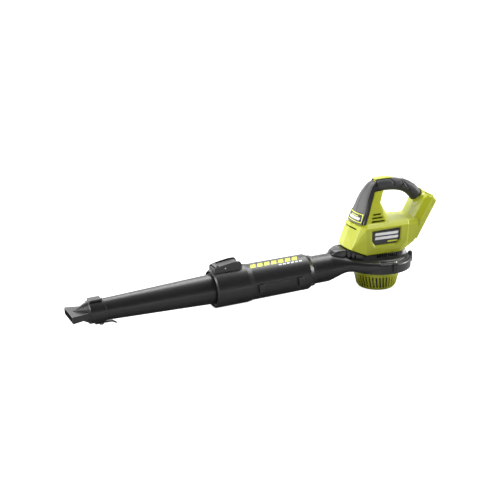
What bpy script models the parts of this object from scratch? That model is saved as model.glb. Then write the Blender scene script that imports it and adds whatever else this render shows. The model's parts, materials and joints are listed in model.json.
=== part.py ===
"""Cordless leaf blower: clamshell body with a grip, fan in a scroll, silencer sleeve and tapered tube.

Lengths are millimetres until an object's mesh is made, which is in metres. +Z is up and is the fan's axis,
the origin is on that axis at the flat bottom of the intake grille, the nozzle points towards -X and the
battery foot towards +X. The tube line droops a little towards the nozzle, so its pieces are made along the
local X axis of the empty named tube_line.
"""

import math

import bmesh
import bpy
from mathutils import Matrix, Vector

MM = 0.001
GAP = 0.3  # between pieces that touch
HALF_GAP = GAP / 2  # either side of the body's parting plane
WALL = 2.5  # moulded wall
AROUND = 40  # sides of a large round piece
AROUND_SMALL = 10  # sides of a pin, screw or boss
SCREW_HEAD_HEIGHT = 2.2
SHARP_DEG = 32.0  # an edge that folds more than this looks sharp
LONG_CHAIN = "MANIFOLD"  # Boolean solver for the shells, whose long chains the exact solver leaves open

# Tube line: stations are measured along its axis from the fan's axis, towards the battery foot.
DROOP_DEG = 2.611
AXIS_HEIGHT = 65.1  # of the tube line, where it crosses the fan's axis
PIPE_RADIUS = 32.3
PIPE_END = -196.0
PIPE_JOIN = -132.0  # where the pipe starts to widen into the scroll
SLEEVE_RADIUS = 41.2
SLEEVE_FRONT = -345.0
SLEEVE_REAR = -172.5
SLEEVE_SEAM = 5.0  # height of the parting plane over the axis
CLIP_STATIONS = (-312.5, -215.5)
CLIP_HALF = 6.5
POCKET_HALF = 4.6
COLLAR_RADIUS = 43.65
COLLAR_FRONT = -416.0
COLLAR_REAR = -327.0
TUBE_RADIUS = 33.2
TUBE_TIP_RADIUS = 23.6
TUBE_REAR = -351.0
TUBE_TIP = -692.0
CAP_RADIUS = 25.75
CAP_REAR = -663.0
CAP_FRONT = -699.0
MOUTH = -741.0
MOUTH_HALF_WIDTH = 35.0
MOUTH_HALF_HEIGHT = 8.0
LATCH_PIVOT = (-386.4, 48.1)  # station and height over the axis
RELEASE_PIVOT = (-672.0, -28.4)

# Scroll and fan
SCROLL_RADIUS = 80.0
SCROLL_BOTTOM = 49.5
SCROLL_RIM = 73.5
DECK_TOP = 80.0
DECK_RADIUS = 66.0
GRILLE_RADIUS = 53.0
GRILLE_SLOTS = 40
IMPELLER_RADIUS = 56.0
IMPELLER_BLADES = 11
BLADE_POINTS = 4
MOTOR_RADIUS = 21.0
MOTOR_BOTTOM = 84.5
MOTOR_TOP = 140.0
SHAFT_RADIUS = 2.5

# Body, handle and battery foot
BODY_HALF_WIDTH = 47.0
GRIP_HALF_WIDTH = 17.0
GRIP_HALF_HEIGHT = 15.5
GRIP_SKIN = 2.4
CORE_HALF_WIDTH = GRIP_HALF_WIDTH - GRIP_SKIN - GAP
CORE_HALF_HEIGHT = GRIP_HALF_HEIGHT - GRIP_SKIN - GAP
GRIP_PATH = [(-12, 242), (17, 243.5), (45, 240.5), (66, 234), (84, 223), (97.5, 208.5)]
FOOT_CENTRE = (107.3, 0, 156.9)  # middle of the battery face
FOOT_TILT_DEG = 29.45
FOOT_HALF_WIDTH = 42.0
FOOT_THICKNESS = 27.0

LOOKS = {  # colour, roughness, metallic
    "lime": ((0.58, 0.62, 0.05), 0.45, 0.0),
    "black": ((0.025, 0.025, 0.027), 0.5, 0.0),
    "grey": ((0.16, 0.16, 0.165), 0.6, 0.0),
    "soft": ((0.02, 0.02, 0.022), 0.75, 0.0),
    "steel": ((0.55, 0.55, 0.57), 0.3, 1.0),
    "copper": ((0.72, 0.36, 0.16), 0.35, 1.0),
    "brass": ((0.75, 0.6, 0.3), 0.3, 1.0),
    "board": ((0.03, 0.16, 0.07), 0.5, 0.0),
    "foam": ((0.09, 0.09, 0.1), 0.95, 0.0),
}


# ---------------------------------------------------------------- tools

def clear_scene():
    for obj in list(bpy.data.objects):
        bpy.data.objects.remove(obj)


def collection(name):
    made = bpy.data.collections.new(name)
    bpy.context.scene.collection.children.link(made)
    return made


def material(look):
    found = bpy.data.materials.get(look)
    if found:
        return found
    made = bpy.data.materials.new(look)
    made.use_nodes = True
    shader = made.node_tree.nodes["Principled BSDF"]
    colour, roughness, metallic = LOOKS[look]
    shader.inputs["Base Color"].default_value = (*colour, 1)
    shader.inputs["Roughness"].default_value = roughness
    shader.inputs["Metallic"].default_value = metallic
    return made


def place(obj, look, at, turn, parent):
    """Put an object in its collection: a piece has a look, a cutter has none."""
    obj.location = Vector(at) * MM
    obj.rotation_euler = [math.radians(angle) for angle in turn]
    obj.parent = parent
    if look:
        PARTS.objects.link(obj)
        obj.data.materials.append(material(look))
    else:
        CUTTERS.objects.link(obj)
        obj.hide_render = True
        obj.display_type = "WIRE"
    return obj


def solid(name, bm, look=None, at=(0, 0, 0), turn=(0, 0, 0), parent=None):
    """An object from a bmesh in millimetres."""
    bmesh.ops.recalc_face_normals(bm, faces=bm.faces)
    bmesh.ops.scale(bm, vec=(MM, MM, MM), verts=bm.verts)
    mesh = bpy.data.meshes.new(name)
    bm.to_mesh(mesh)
    bm.free()
    return place(bpy.data.objects.new(name, mesh), look, at, turn, parent)


def meshed(name, curve, look, at, turn, parent):
    """A mesh object from a curve, with its caps welded."""
    drawn = bpy.data.objects.new(name + "_curve", curve)
    bpy.context.scene.collection.objects.link(drawn)
    depsgraph = bpy.context.evaluated_depsgraph_get()
    mesh = bpy.data.meshes.new_from_object(drawn.evaluated_get(depsgraph))
    mesh.name = name
    bpy.data.objects.remove(drawn)
    bm = bmesh.new()
    bm.from_mesh(mesh)
    bmesh.ops.remove_doubles(bm, verts=bm.verts, dist=1e-6)
    bmesh.ops.recalc_face_normals(bm, faces=bm.faces)
    bm.to_mesh(mesh)
    bm.free()
    return place(bpy.data.objects.new(name, mesh), look, at, turn, parent)


def box(name, low, high, look=None, bevel=0.0, **where):
    bm = bmesh.new()
    size = [h - l for l, h in zip(low, high)]
    middle = [(h + l) / 2 for l, h in zip(low, high)]
    matrix = Matrix.Translation(middle) @ Matrix.Diagonal((*size, 1))
    bmesh.ops.create_cube(bm, size=1, matrix=matrix)
    obj = solid(name, bm, look, **where)
    if bevel:
        round_edges(obj, bevel)
    return obj


def round_edges(obj, width, segments=1, angle=30):
    bevel = obj.modifiers.new("edges", "BEVEL")
    bevel.width = width * MM
    bevel.segments = segments
    bevel.limit_method = "ANGLE"
    bevel.angle_limit = math.radians(angle)


def hull(name, points, look=None, **where):
    """The convex body round some points, and round their mirror images across y = 0."""
    bm = bmesh.new()
    for x, y, z in points:
        bm.verts.new((x, y, z))
        if y:
            bm.verts.new((x, -y, z))
    found = bmesh.ops.convex_hull(bm, input=bm.verts)
    spare = {v for v in found["geom_interior"] + found["geom_unused"] if isinstance(v, bmesh.types.BMVert)}
    bmesh.ops.delete(bm, geom=list(spare), context="VERTS")
    bmesh.ops.dissolve_limit(bm, angle_limit=math.radians(0.5), verts=bm.verts, edges=bm.edges)
    return solid(name, bm, look, **where)


def loft(name, sections, look=None, **where):
    """A closed body through rings of points with the same count, capped at both ends."""
    bm = bmesh.new()
    rings = [[bm.verts.new(point) for point in section] for section in sections]
    for ring, after in zip(rings, rings[1:]):
        for i in range(len(ring)):
            j = (i + 1) % len(ring)
            bm.faces.new((ring[i], ring[j], after[j], after[i]))
    bm.faces.new(rings[0])
    bm.faces.new(rings[-1])
    return solid(name, bm, look, **where)


def turned(name, profile, look=None, steps=AROUND, **where):
    """A turned piece. The profile is (radius, height), down its outer side.

    It closes unless it meets the axis.
    """
    bm = bmesh.new()
    points = [bm.verts.new((radius, 0, height)) for radius, height in profile]
    for a, b in zip(points, points[1:]):
        bm.edges.new((a, b))
    if min(radius for radius, _ in profile) > 0:
        bm.edges.new((points[-1], points[0]))
    obj = solid(name, bm, look, **where)
    screw = obj.modifiers.new("turn", "SCREW")
    screw.steps = steps
    screw.render_steps = steps
    screw.use_merge_vertices = True
    screw.merge_threshold = 1e-5
    return obj


def rod(name, radius, low, high, look=None, steps=AROUND_SMALL, **where):
    return turned(name, [(0, high), (radius, high), (radius, low), (0, low)], look, steps, **where)


def ring(name, outer, inner, low, high, look=None, steps=AROUND, **where):
    return turned(name, [(outer, high), (outer, low), (inner, low), (inner, high)], look, steps, **where)


def plate(name, outline, thickness, look=None, at=(0, 0, 0), turn=(0, 0, 0), parent=None):
    """A flat outline in X and Y, with its thickness either side along Z."""
    curve = bpy.data.curves.new(name, "CURVE")
    curve.dimensions = "2D"
    curve.fill_mode = "BOTH"
    curve.extrude = thickness / 2 * MM
    spline = curve.splines.new("POLY")
    spline.points.add(len(outline) - 1)
    for point, (x, y) in zip(spline.points, outline):
        point.co = (x * MM, y * MM, 0, 1)
    spline.use_cyclic_u = True
    return meshed(name, curve, look, at, turn, parent)


def upright(name, outline, thickness, look=None, y=0.0, parent=None):
    """A plate whose outline is in X and Z."""
    return plate(name, outline, thickness, look, at=(0, y, 0), turn=(90, 0, 0), parent=parent)


def coil(name, radius, wire, length, turns, look, **where):
    """A helical spring of round wire, standing along Z."""
    curve = bpy.data.curves.new(name, "CURVE")
    curve.dimensions = "3D"
    curve.bevel_depth = wire * MM
    curve.bevel_resolution = 1
    curve.use_fill_caps = True
    per_turn = 8
    count = turns * per_turn + 1
    spline = curve.splines.new("POLY")
    spline.points.add(count - 1)
    for i, point in enumerate(spline.points):
        angle = math.tau * i / per_turn
        height = wire + (length - 2 * wire) * i / (count - 1)
        point.co = (radius * MM * math.cos(angle), radius * MM * math.sin(angle), height * MM, 1)
    at, turn = where.get("at", (0, 0, 0)), where.get("turn", (0, 0, 0))
    return meshed(name, curve, look, at, turn, where.get("parent"))


def boolean(target, tools, operation, solver="EXACT"):
    for tool in tools:
        modifier = target.modifiers.new(tool.name, "BOOLEAN")
        modifier.operation = operation
        modifier.object = tool
        modifier.solver = solver
    return target


def cut(target, *tools, solver="EXACT"):
    return boolean(target, tools, "DIFFERENCE", solver)


def join(target, *tools, solver="EXACT"):
    return boolean(target, tools, "UNION", solver)


def keep(target, *tools, solver="EXACT"):
    return boolean(target, tools, "INTERSECT", solver)


def smooth(t):
    t = min(1.0, max(0.0, t))
    return t * t * (3 - 2 * t)


def mix(a, b, t):
    return a + (b - a) * t


def axis_height(x):
    """Height of the tube line over the ground."""
    return AXIS_HEIGHT + x * math.tan(math.radians(DROOP_DEG))


def inset(points, wall):
    """The same corners, moved towards their middle by a wall thickness on each axis."""
    moved = []
    low = [min(p[i] for p in points) for i in range(3)]
    high = [max(p[i] for p in points) for i in range(3)]
    low[1] = -high[1]
    for p in points:
        spans = [(high[i] - low[i]) / 2 for i in range(3)]
        middle = [(high[i] + low[i]) / 2 for i in range(3)]
        moved.append(tuple(middle[i] + (p[i] - middle[i]) * (spans[i] - wall) / spans[i] for i in range(3)))
    return moved


def along_path(path, per_span=3):
    """Points on a smooth curve through the path's points (Catmull-Rom), with the unit tangent at each."""
    ends = [(2 * path[0][k] - path[1][k]) for k in (0, 1)], [(2 * path[-1][k] - path[-2][k]) for k in (0, 1)]
    knots = [ends[0], *path, ends[1]]
    found = []
    for a, b, c, d in zip(knots, knots[1:], knots[2:], knots[3:]):
        for step in range(per_span):
            found.append(catmull(a, b, c, d, step / per_span))
    found.append(catmull(*knots[-4:], 1.0))
    return found


def catmull(a, b, c, d, t):
    place_at = []
    slope = []
    for p, q, r, s in zip(a, b, c, d):
        m, n = (r - p) / 2, (s - q) / 2
        cubic = 2 * q - 2 * r + m + n
        square = -3 * q + 3 * r - 2 * m - n
        place_at.append(q + m * t + square * t * t + cubic * t ** 3)
        slope.append(m + 2 * square * t + 3 * cubic * t * t)
    size = math.hypot(*slope)
    return (*place_at, slope[0] / size, slope[1] / size)


def swept(name, path, half_width, half_height, look=None, sides=20):
    """A bar of elliptical section along a smooth path in the plane y = 0."""
    sections = []
    for x, z, tx, tz in along_path(path):
        section = []
        for i in range(sides):
            angle = math.tau * i / sides
            up = half_height * math.sin(angle)
            section.append((x - tz * up, half_width * math.cos(angle), z + tx * up))
        sections.append(section)
    return loft(name, sections, look)


def screw(name, head_at, turn, length, look="steel", parent=None, head=3.0, shank=1.4):
    """A pan-head screw. Its head's outer face is at head_at, and its shank runs along local Z."""
    profile = [
        (0, length), (shank, length - 2), (shank, SCREW_HEAD_HEIGHT), (head, SCREW_HEAD_HEIGHT), (head, 0.8),
        (head * 0.75, 0), (0, 0),
    ]
    return turned(name, profile, look, AROUND_SMALL, at=head_at, turn=turn, parent=parent)


# ---------------------------------------------------------------- scroll, grille and fan

def scroll_section(x, wall):
    """A cross-section of the outlet at x: round where it is the pipe, flat and wide inside the scroll."""
    t = smooth((x - PIPE_JOIN) / 95)
    middle = axis_height(x)
    half = max(PIPE_RADIUS, PIPE_RADIUS + 0.436 * (x + 127)) - wall
    low = mix(middle - PIPE_RADIUS, SCROLL_BOTTOM + 0.4, smooth((x - PIPE_JOIN + 2) / 48)) + wall
    high = mix(middle + PIPE_RADIUS, DECK_TOP - 0.5, t) - wall
    power = mix(1.0, 0.45, t)  # 1 is round, less is squarer
    centre, tall = (low + high) / 2, (high - low) / 2
    section = []
    sides = 24
    for i in range(sides):
        c, s = math.cos(math.tau * i / sides), math.sin(math.tau * i / sides)
        y = half * math.copysign(abs(c) ** power, c)
        z = centre + tall * math.copysign(abs(s) ** power, s)
        section.append((x, y, z))
    return section


def scroll_blank():
    """The whole scroll and outlet pipe, hollow, before it is parted into two shells."""
    stations = [PIPE_END, PIPE_JOIN, -122, -112, -102, -84, -60, -28]
    rim = SCROLL_RADIUS
    body = turned("scroll_blank", [
        (0, DECK_TOP), (DECK_RADIUS, DECK_TOP), (rim, SCROLL_RIM), (rim, SCROLL_BOTTOM + 2),
        (rim - 2, SCROLL_BOTTOM), (0, SCROLL_BOTTOM),
    ], steps=AROUND)
    outlet = loft("outlet_outer", [scroll_section(x, 0) for x in stations])
    hump = hull("outlet_hump", [
        (-84, 29, 101.4), (-53, 42, 88.9), (-53, 41, 78), (-84, 30, 80), (-119, 18, 80), (-127, 10, 88),
        (-127, 0, 90.5), (-118, 15, 97.5), (-118, 0, 99.5), (-104, 22, 101.8), (-104, 0, 103), (-92, 27, 102),
        (-53, 0, 88.9), (-84, 0, 101.4),
    ])
    skirt = hull("vent_skirt_outer", [
        (-56, 42, 76), (-56, 42, 89.1), (40, 42, 76), (40, 42, 89.1), (60, 30, 76), (60, 30, 89.1),
    ])
    lugs = [lug_block(i, angle) for i, angle in enumerate(LUG_ANGLES)]
    join(body, outlet, hump, skirt, *lugs, solver=LONG_CHAIN)
    hollow = turned("scroll_hollow", [
        (0, DECK_TOP - WALL), (DECK_RADIUS - 1, DECK_TOP - WALL), (rim - WALL, SCROLL_RIM - 1.5),
        (rim - WALL, SCROLL_BOTTOM + WALL), (0, SCROLL_BOTTOM + WALL),
    ], steps=AROUND)
    inner = [scroll_section(x, WALL) for x in [PIPE_END - 2, *stations[1:]]]
    skirt_hollow = hull("vent_skirt_inner", [
        (-53, 38.5, DECK_TOP + 0.05), (-53, 38.5, 95), (37, 38.5, DECK_TOP + 0.05), (37, 38.5, 95),
        (56, 27.5, DECK_TOP + 0.05), (56, 27.5, 95),
    ])
    cut(body, hollow, loft("outlet_inner", inner), skirt_hollow, solver=LONG_CHAIN)
    holes = [
        rod("inlet_hole", 40, SCROLL_BOTTOM - 5, SCROLL_BOTTOM + 5, steps=AROUND),
        rod("motor_nose_hole", 12, DECK_TOP - 8, DECK_TOP + 5, steps=16),
        vent_slots(),
    ]
    for i, angle in enumerate(LUG_ANGLES):
        holes.append(rod(f"lug_hole_{i}", 1.6, SCROLL_BOTTOM, 90, at=(*lug_centre(angle), 0)))
    return cut(body, *holes, solver=LONG_CHAIN)


LUG_ANGLES = (-87.0, -14.0, 95.0)  # around the fan's axis, from +X
LUG_TOP = 78.0


def lug_centre(angle):
    radians = math.radians(angle)
    return (SCROLL_RADIUS + 1.5) * math.cos(radians), (SCROLL_RADIUS + 1.5) * math.sin(radians)


def lug_block(i, angle):
    """A screw lug on the scroll's rim."""
    x, y = lug_centre(angle)
    return box(f"lug_block_{i}", (-4.5, -6, SCROLL_BOTTOM + 5), (4, 6, LUG_TOP), bevel=1.0,
               at=(x, y, 0), turn=(0, 0, angle))


def vent_slots():
    """Slots through the skirt between the scroll and the body, one mesh of separate cutters."""
    bm = bmesh.new()
    pitch = 6.0
    for side in (-1, 1):
        for i in range(13):
            x = -40 + pitch * i
            matrix = Matrix.Translation((x, side * 40.5, 84.6)) @ Matrix.Diagonal((3.4, 10, 5.6, 1))
            bmesh.ops.create_cube(bm, size=1, matrix=matrix)
    return solid("vent_slots", bm)


def scroll_halves():
    seam = [(-210, 55.2), (-127, 66), (-31, SCROLL_RIM - 1.5), (110, SCROLL_RIM - 1.5)]
    blank = scroll_blank()
    lower = [(-210, 10), (110, 10), *reversed(seam)]
    upper = [(110, 120), (-210, 120), *[(x, z + GAP) for x, z in seam]]
    keep(upright("volute_lower", lower, 200, "black"), blank, solver=LONG_CHAIN)
    keep(upright("volute_upper", upper, 200, "black"), blank, solver=LONG_CHAIN)
    for i, angle in enumerate(LUG_ANGLES):
        x, y = lug_centre(angle)
        screw(f"scroll_screw_{i + 1}", (x, y, LUG_TOP + 2.4), (180, 0, 0), 22, head=2.8)


def intake_grille():
    r = GRILLE_RADIUS
    top = SCROLL_BOTTOM - GAP
    grille = turned("intake_grille", [
        (0, 2.6), (r - 11, 2.6), (r - 5.6, 18), (r - 2.6, 36), (r - 2.6, top),
        (r, top), (r, 36), (r - 3, 16), (r - 8, 1.8), (r - 11, 0), (0, 0),
    ], "lime", steps=GRILLE_SLOTS)
    bm = bmesh.new()
    for i in range(GRILLE_SLOTS):
        turn = Matrix.Rotation(math.tau * i / GRILLE_SLOTS, 4, "Z")
        lean = Matrix.Rotation(math.radians(12), 4, "X")
        shape = Matrix.Translation((r - 4, 0, 20.5)) @ lean @ Matrix.Diagonal((16, 3.9, 25, 1))
        bmesh.ops.create_cube(bm, size=1, matrix=turn @ shape)
    cut(grille, solid("grille_slots", bm))
    return grille


def blade_outline():
    """One backward-curved impeller blade, in plan."""
    inner, outer, half = 24.0, IMPELLER_RADIUS - 0.5, 0.9
    spine = []
    for i in range(BLADE_POINTS):
        t = i / (BLADE_POINTS - 1)
        radius = mix(inner, outer, t)
        angle = -math.radians(38) * t
        spine.append(Vector((radius * math.cos(angle), radius * math.sin(angle))))
    left, right = [], []
    for i, point in enumerate(spine):
        tangent = (spine[min(i + 1, BLADE_POINTS - 1)] - spine[max(i - 1, 0)]).normalized()
        side = Vector((-tangent.y, tangent.x)) * half
        left.append(tuple(point + side))
        right.append(tuple(point - side))
    return left + right[::-1]


def impeller():
    bottom, top = 55.0, 69.5
    wheel = turned("impeller", [
        (8, top + 3), (8, top), (IMPELLER_RADIUS, top), (IMPELLER_RADIUS, top - 2), (20, top - 2),
        (8, bottom), (SHAFT_RADIUS + 0.3, bottom), (SHAFT_RADIUS + 0.3, top + 3),
    ], "black", steps=33)
    for i in range(IMPELLER_BLADES):
        blade = plate(f"blade_{i}", blade_outline(), top - 1 - bottom, at=(0, 0, (top - 1 + bottom) / 2),
                      turn=(0, 0, 360 * i / IMPELLER_BLADES))
        join(wheel, blade)
    hub_nut = [(0, 54.6), (4.5, 54.6), (5.5, 53), (5.5, 49.5), (4, 48), (0, 48)]
    turned("impeller_nut", hub_nut, "steel", 6)
    return wheel


def motor():
    r = MOTOR_RADIUS
    low, high = MOTOR_BOTTOM, MOTOR_TOP
    ring("motor_mount", 30, 12.5, DECK_TOP + GAP, DECK_TOP + 3.8, "steel")
    cup = turned("motor_can", [
        (r - 4, high), (r, high - 3), (r, low + 4.3), (r - 1.6, low + 4.3), (r - 1.6, high - 2.2),
        (5.2, high - 2.2), (5.2, high),
    ], "steel", 32)
    turned("motor_flange", [
        (r, low + 4), (r, low), (11.5, low), (11.5, low - 2.5), (9, low - 2.5), (9, low + 4),
    ], "steel", 32)
    ring("stator_core", r - 2, 10.3, low + 12, high - 14, "steel", 32)
    ring("stator_winding", r - 3, 10.3, high - 13.6, high - 7, "copper", 32)
    ring("stator_winding_lower", r - 3, 10.3, low + 6, low + 11.6, "copper", 32)
    ring("motor_rotor", 9.8, SHAFT_RADIUS + 0.1, low + 12, high - 14, "steel", 24)
    ring("bearing_lower", 8.6, SHAFT_RADIUS + 0.3, low - 2, low + 3, "steel", 24)
    ring("bearing_upper", 4.9, SHAFT_RADIUS + 0.3, high - 5, high - 0.5, "steel", 24)
    rod("motor_shaft", SHAFT_RADIUS, 55.0, high + 2, "steel", 16)
    return cup


# ---------------------------------------------------------------- body, leg, handle and foot

BODY = [
    (-85.3, 32, 103.8), (-90, 0, 104.5), (-77.5, 0, 142), (-70, 0, 158), (-63.2, 35.5, 156), (-50, 44, 89.6),
    (-35, BODY_HALF_WIDTH, 105), (-54, BODY_HALF_WIDTH, 134), (-54.5, BODY_HALF_WIDTH, 153), (-48, 38, 160),
    (37, BODY_HALF_WIDTH, 89.6), (53, BODY_HALF_WIDTH, 154), (60, 40, 95.5), (80, 38, 109), (87, 36, 163),
    (62, BODY_HALF_WIDTH - 3, 150),
]
LEG_LOW = [  # it spreads towards the body
    (-51, 36.8, 156), (-32.3, 27, 205), (-8.7, 26.5, 206), (5.2, 31.5, 184), (9.5, 36.8, 156),
]
LEG_HIGH = [(-33, 27, 203.5), (-8.7, 26.5, 206), (-21, 19.5, 231), (2.5, 19, 232)]
FRONT_LINE = [  # x and z of the panel's centre, half-width, depth to the back of its frame, crown
    (-16.5, 252, 12.5, 13.0, 2.0), (-29, 243.5, 16.5, 23.0, 4.5), (-45.3, 220, 23.5, 23.0, 7.0),
    (-57.5, 187.5, 30.5, 21.0, 7.0), (-66.5, 161, 35.3, 18.5, 5.5),
]
CORE_PATH = [(-12, 242), (17, 243.5), (45, 240.5), (66, 234), (84, 223), (97.5, 208.5), (106, 197)]
FOOT = [
    (0, 40, -50), (0, 40, 50), (-5, FOOT_HALF_WIDTH, -50), (-5, FOOT_HALF_WIDTH, 50),
    (-15, FOOT_HALF_WIDTH, -46), (-15, FOOT_HALF_WIDTH, 52), (-19, 36, 58.5), (-FOOT_THICKNESS, 29, 52),
    (-FOOT_THICKNESS, 29, -40), (-14, 30, -54),
]
PANEL_THICKNESS = 2.2
BADGE = [(-37, 145), (34.5, 145), (34.5, 121.5), (25, 112.5), (-30, 112.5), (-37, 122.5)]
BOSSES = [  # x, z, half-width there: the screws run along Y and go in from the right side
    (-56, 108, 44), (46, 112, 44), (56, 146, 42), (-46, 147, 44.5), (-17, 199, 25.5),
]


def moved(points, dx=0.0, dy=0.0, dz=0.0):
    return [(x + dx, y + dy if y else 0, z + dz) for x, y, z in points]


def foot_place():
    return {"at": FOOT_CENTRE, "turn": (0, FOOT_TILT_DEG, 0)}


def housing_blank():
    """The hollow green body with its leg, handle core and battery foot, before it is parted at y = 0."""
    blank = hull("housing_blank", BODY)
    leg = hull("leg_low", LEG_LOW)
    leg_top = hull("leg_high", LEG_HIGH)
    core = swept("handle_core", CORE_PATH, CORE_HALF_WIDTH, CORE_HALF_HEIGHT, sides=16)
    foot = hull("foot_outer", FOOT, **foot_place())
    join(blank, leg, leg_top, core, foot, solver=LONG_CHAIN)
    cavities = [
        hull("body_hollow", inset(BODY, 3.0)),
        hull("leg_low_hollow", [
            (-47, 34, 150), (-30, 25, 203), (-11.5, 24.5, 203), (3, 30, 180), (6, 34, 150),
        ]),
        hull("leg_high_hollow", [(-30, 24.5, 201), (-11.5, 24, 202), (-21, 17, 229), (-1, 16.5, 229)]),
        swept("core_hollow", CORE_PATH[:-1], CORE_HALF_WIDTH - WALL, CORE_HALF_HEIGHT - WALL, sides=16),
        hull("foot_hollow", [(-16, 33, -42), (-16, 33, 50), (-24, 26, -36), (-24, 26, 48)], **foot_place()),
    ]
    cut(blank, *cavities, solver=LONG_CHAIN)
    join(blank, *[boss(i, *spot) for i, spot in enumerate(BOSSES)], solver=LONG_CHAIN)
    openings = [
        box("battery_mouth", (-13, -28, -60), (2, 28, 40), **foot_place()),
        box("battery_rails", (-10, -33, -61), (-4, 33, 40), **foot_place()),
        rod("body_floor_hole", 37, 86, 96, steps=24),
        box("trigger_slot", (-12, -7.0, 205), (30, 7.0, 227)),
        box("switch_window", (-45, -9, 204.5), (-20, 9, 226)),
        box("chin_slot", (-92, -15, 148.5), (-62, 15, 151)),
        badge_recess(-1),
        badge_recess(1),
        louvres(),
    ]
    for i, (x, z, half) in enumerate(BOSSES):
        openings.append(rod(f"boss_hole_{i}", 1.6, 10 - half, half + 12, at=(x, 0, z), turn=(-90, 0, 0)))
        openings.append(rod(f"boss_bore_{i}", 3.4, half - 6, half + 12, at=(x, 0, z), turn=(-90, 0, 0)))
    return cut(blank, *openings, solver=LONG_CHAIN)


def boss(i, x, z, half):
    return rod(f"boss_{i}", 4.6, -half, half, steps=8, at=(x, 0, z), turn=(-90, 0, 0))


def badge_recess(side):
    return upright(f"badge_recess_{side + 1}", BADGE, 4, y=side * (BODY_HALF_WIDTH + 0.4))


def louvres():
    """Three slots on each side of the leg, one mesh of separate cutters."""
    bm = bmesh.new()
    for side in (-1, 1):
        for i in range(3):
            low, high = -36 + 2.3 * i, -2 - 3.6 * i
            middle = ((low + high) / 2, side * (36 - 2.2 * i), 165.6 + 7.9 * i)
            matrix = Matrix.Translation(middle) @ Matrix.Diagonal((high - low, 12, 3.8, 1))
            bmesh.ops.create_cube(bm, size=1, matrix=matrix)
    return solid("louvres", bm)


def housing():
    blank = housing_blank()
    right_side = box("housing_right", (-130, HALF_GAP, 80), (180, 70, 275), "lime")
    left_side = box("housing_left", (-130, -70, 80), (180, -HALF_GAP, 275), "lime")
    keep(right_side, blank, solver=LONG_CHAIN)
    keep(left_side, blank, solver=LONG_CHAIN)
    for i, (x, z, half) in enumerate(BOSSES):
        length = min(2 * half - 14, 34)
        screw(f"housing_screw_{i + 1}", (x, half - 3.5, z), (90, 0, 0), length, head=2.9)
    for side, name in ((-1, "badge_left"), (1, "badge_right")):
        smaller = [(x * 0.985 - 0.03, 129 + (z - 129) * 0.96) for x, z in BADGE]
        upright(name, smaller, 1.2, "black", y=side * (BODY_HALF_WIDTH - 0.6))


def front_section(station, reach, depth_from, depth_to, lift=0.0):
    """A level slice, out to y = +-reach, of the crowned front panel or of the frame behind it."""
    x, z, half, _, crown = station
    front = []
    for i in range(7):
        y = reach * (i - 3) / 3
        front.append((x + crown * (y / half) ** 2, y))
    skin = [(px + depth_from, y, z + lift) for px, y in front]
    if depth_to - depth_from < PANEL_THICKNESS + GAP:
        return skin + [(px + depth_to, y, z + lift) for px, y in reversed(front)]
    return skin + [(x + depth_to, y, z + lift) for _, y in reversed(front)]


def front_trim():
    """The grey panel down the front of the leg, and the black frame that it sits on."""
    thick = PANEL_THICKNESS
    panel = loft("front_panel", [front_section(at, at[2] - 1.5, 0, thick) for at in FRONT_LINE], "grey")
    sections = [front_section(at, at[2], thick + 3 * GAP, at[3]) for at in FRONT_LINE]
    black = loft("front_frame", sections, "black")
    room = [
        front_section(at, at[2] - WALL, thick + 2 * GAP + WALL, at[3] + 6, lift)
        for at, lift in zip(FRONT_LINE, (WALL, 0, 0, 0, -WALL))
    ]
    leg = hull("front_leg_room", [
        (-53.9, 45, 150), (-32.9, 45, 205), (-21.5, 45, 231.4), (60, 45, 231.4), (60, 45, 150),
        (-20.9, 45, 233),
    ])
    cut(black, loft("front_frame_room", room), leg, grip_room())
    cut(panel, grip_room("panel_grip_room"))


def grip_room(name="grip_room"):
    """The space that the grip takes, with a gap round it."""
    path = [(GRIP_PATH[0][0] - GAP, GRIP_PATH[0][1]), *GRIP_PATH[1:3]]
    return swept(name, path, GRIP_HALF_WIDTH + GAP, GRIP_HALF_HEIGHT + GAP, sides=16)


def grip():
    """The soft sleeve moulded round the handle, closed at the front of the leg."""
    outer = swept("grip", GRIP_PATH, GRIP_HALF_WIDTH, GRIP_HALF_HEIGHT, "soft", sides=16)
    path = [(-30, 241), *CORE_PATH[1:]]
    inner = swept("grip_bore", path, GRIP_HALF_WIDTH - GRIP_SKIN, GRIP_HALF_HEIGHT - GRIP_SKIN, sides=16)
    leg_room = hull("grip_leg_room", [
        (-40, 25, 190), (-22.5, 25, 231.4), (3.4, 25, 232.4), (-4.6, 25, 190),
    ])
    patch_room = hull("grip_patch_room", moved(TOP_PATCH_LOW, dz=-GAP) + moved(TOP_PATCH_LOW, dz=10))
    foot_room = hull("grip_foot_room", [(x - GAP, y + 3 * bool(y), z) for x, y, z in FOOT], **foot_place())
    cut(outer, inner, leg_room, patch_room, foot_room)
    hull("top_patch", TOP_PATCH_LOW + moved(TOP_PATCH_LOW, dz=1.8), "lime")


TOP_PATCH_LOW = [(-15, 8.5, 256.9), (4, 10, 258.3), (18, 10, 258.5), (30, 9.5, 257.9)]


def trigger():
    """The trigger slides forward into the leg against its spring; the switch is ahead of it."""
    outline = [
        (-14, 206.5), (-14, 225.5), (4.6, 225.5), (5.2, 221), (3.0, 214), (1.0, 209), (-1.5, 206.5),
    ]
    upright("trigger", outline, 12.6, "black")
    box("trigger_switch", (-28.5, -7, 206), (-22.6, 7, 217.5), "black")
    coil("trigger_spring", 3.4, 0.45, 8.0, 4, "steel", at=(-22.3, 0, 213), turn=(0, 90, 0))


def electrics():
    box("terminal_block", (-12.7, -15, 13), (-1.5, 15, 39.5), "black", bevel=0.6, **foot_place())
    for i, y in enumerate((-9, 0, 9)):
        box(f"terminal_blade_{i + 1}", (-9.5, y - 0.5, -4), (-3.5, y + 0.5, 12.7), "brass", **foot_place())
    box("control_board", (30, -30, 98), (32, 30, 142), "board")
    box("capacitor_bank", (24, -14, 112), (29.7, 14, 128), "black", bevel=1.0)


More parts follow.
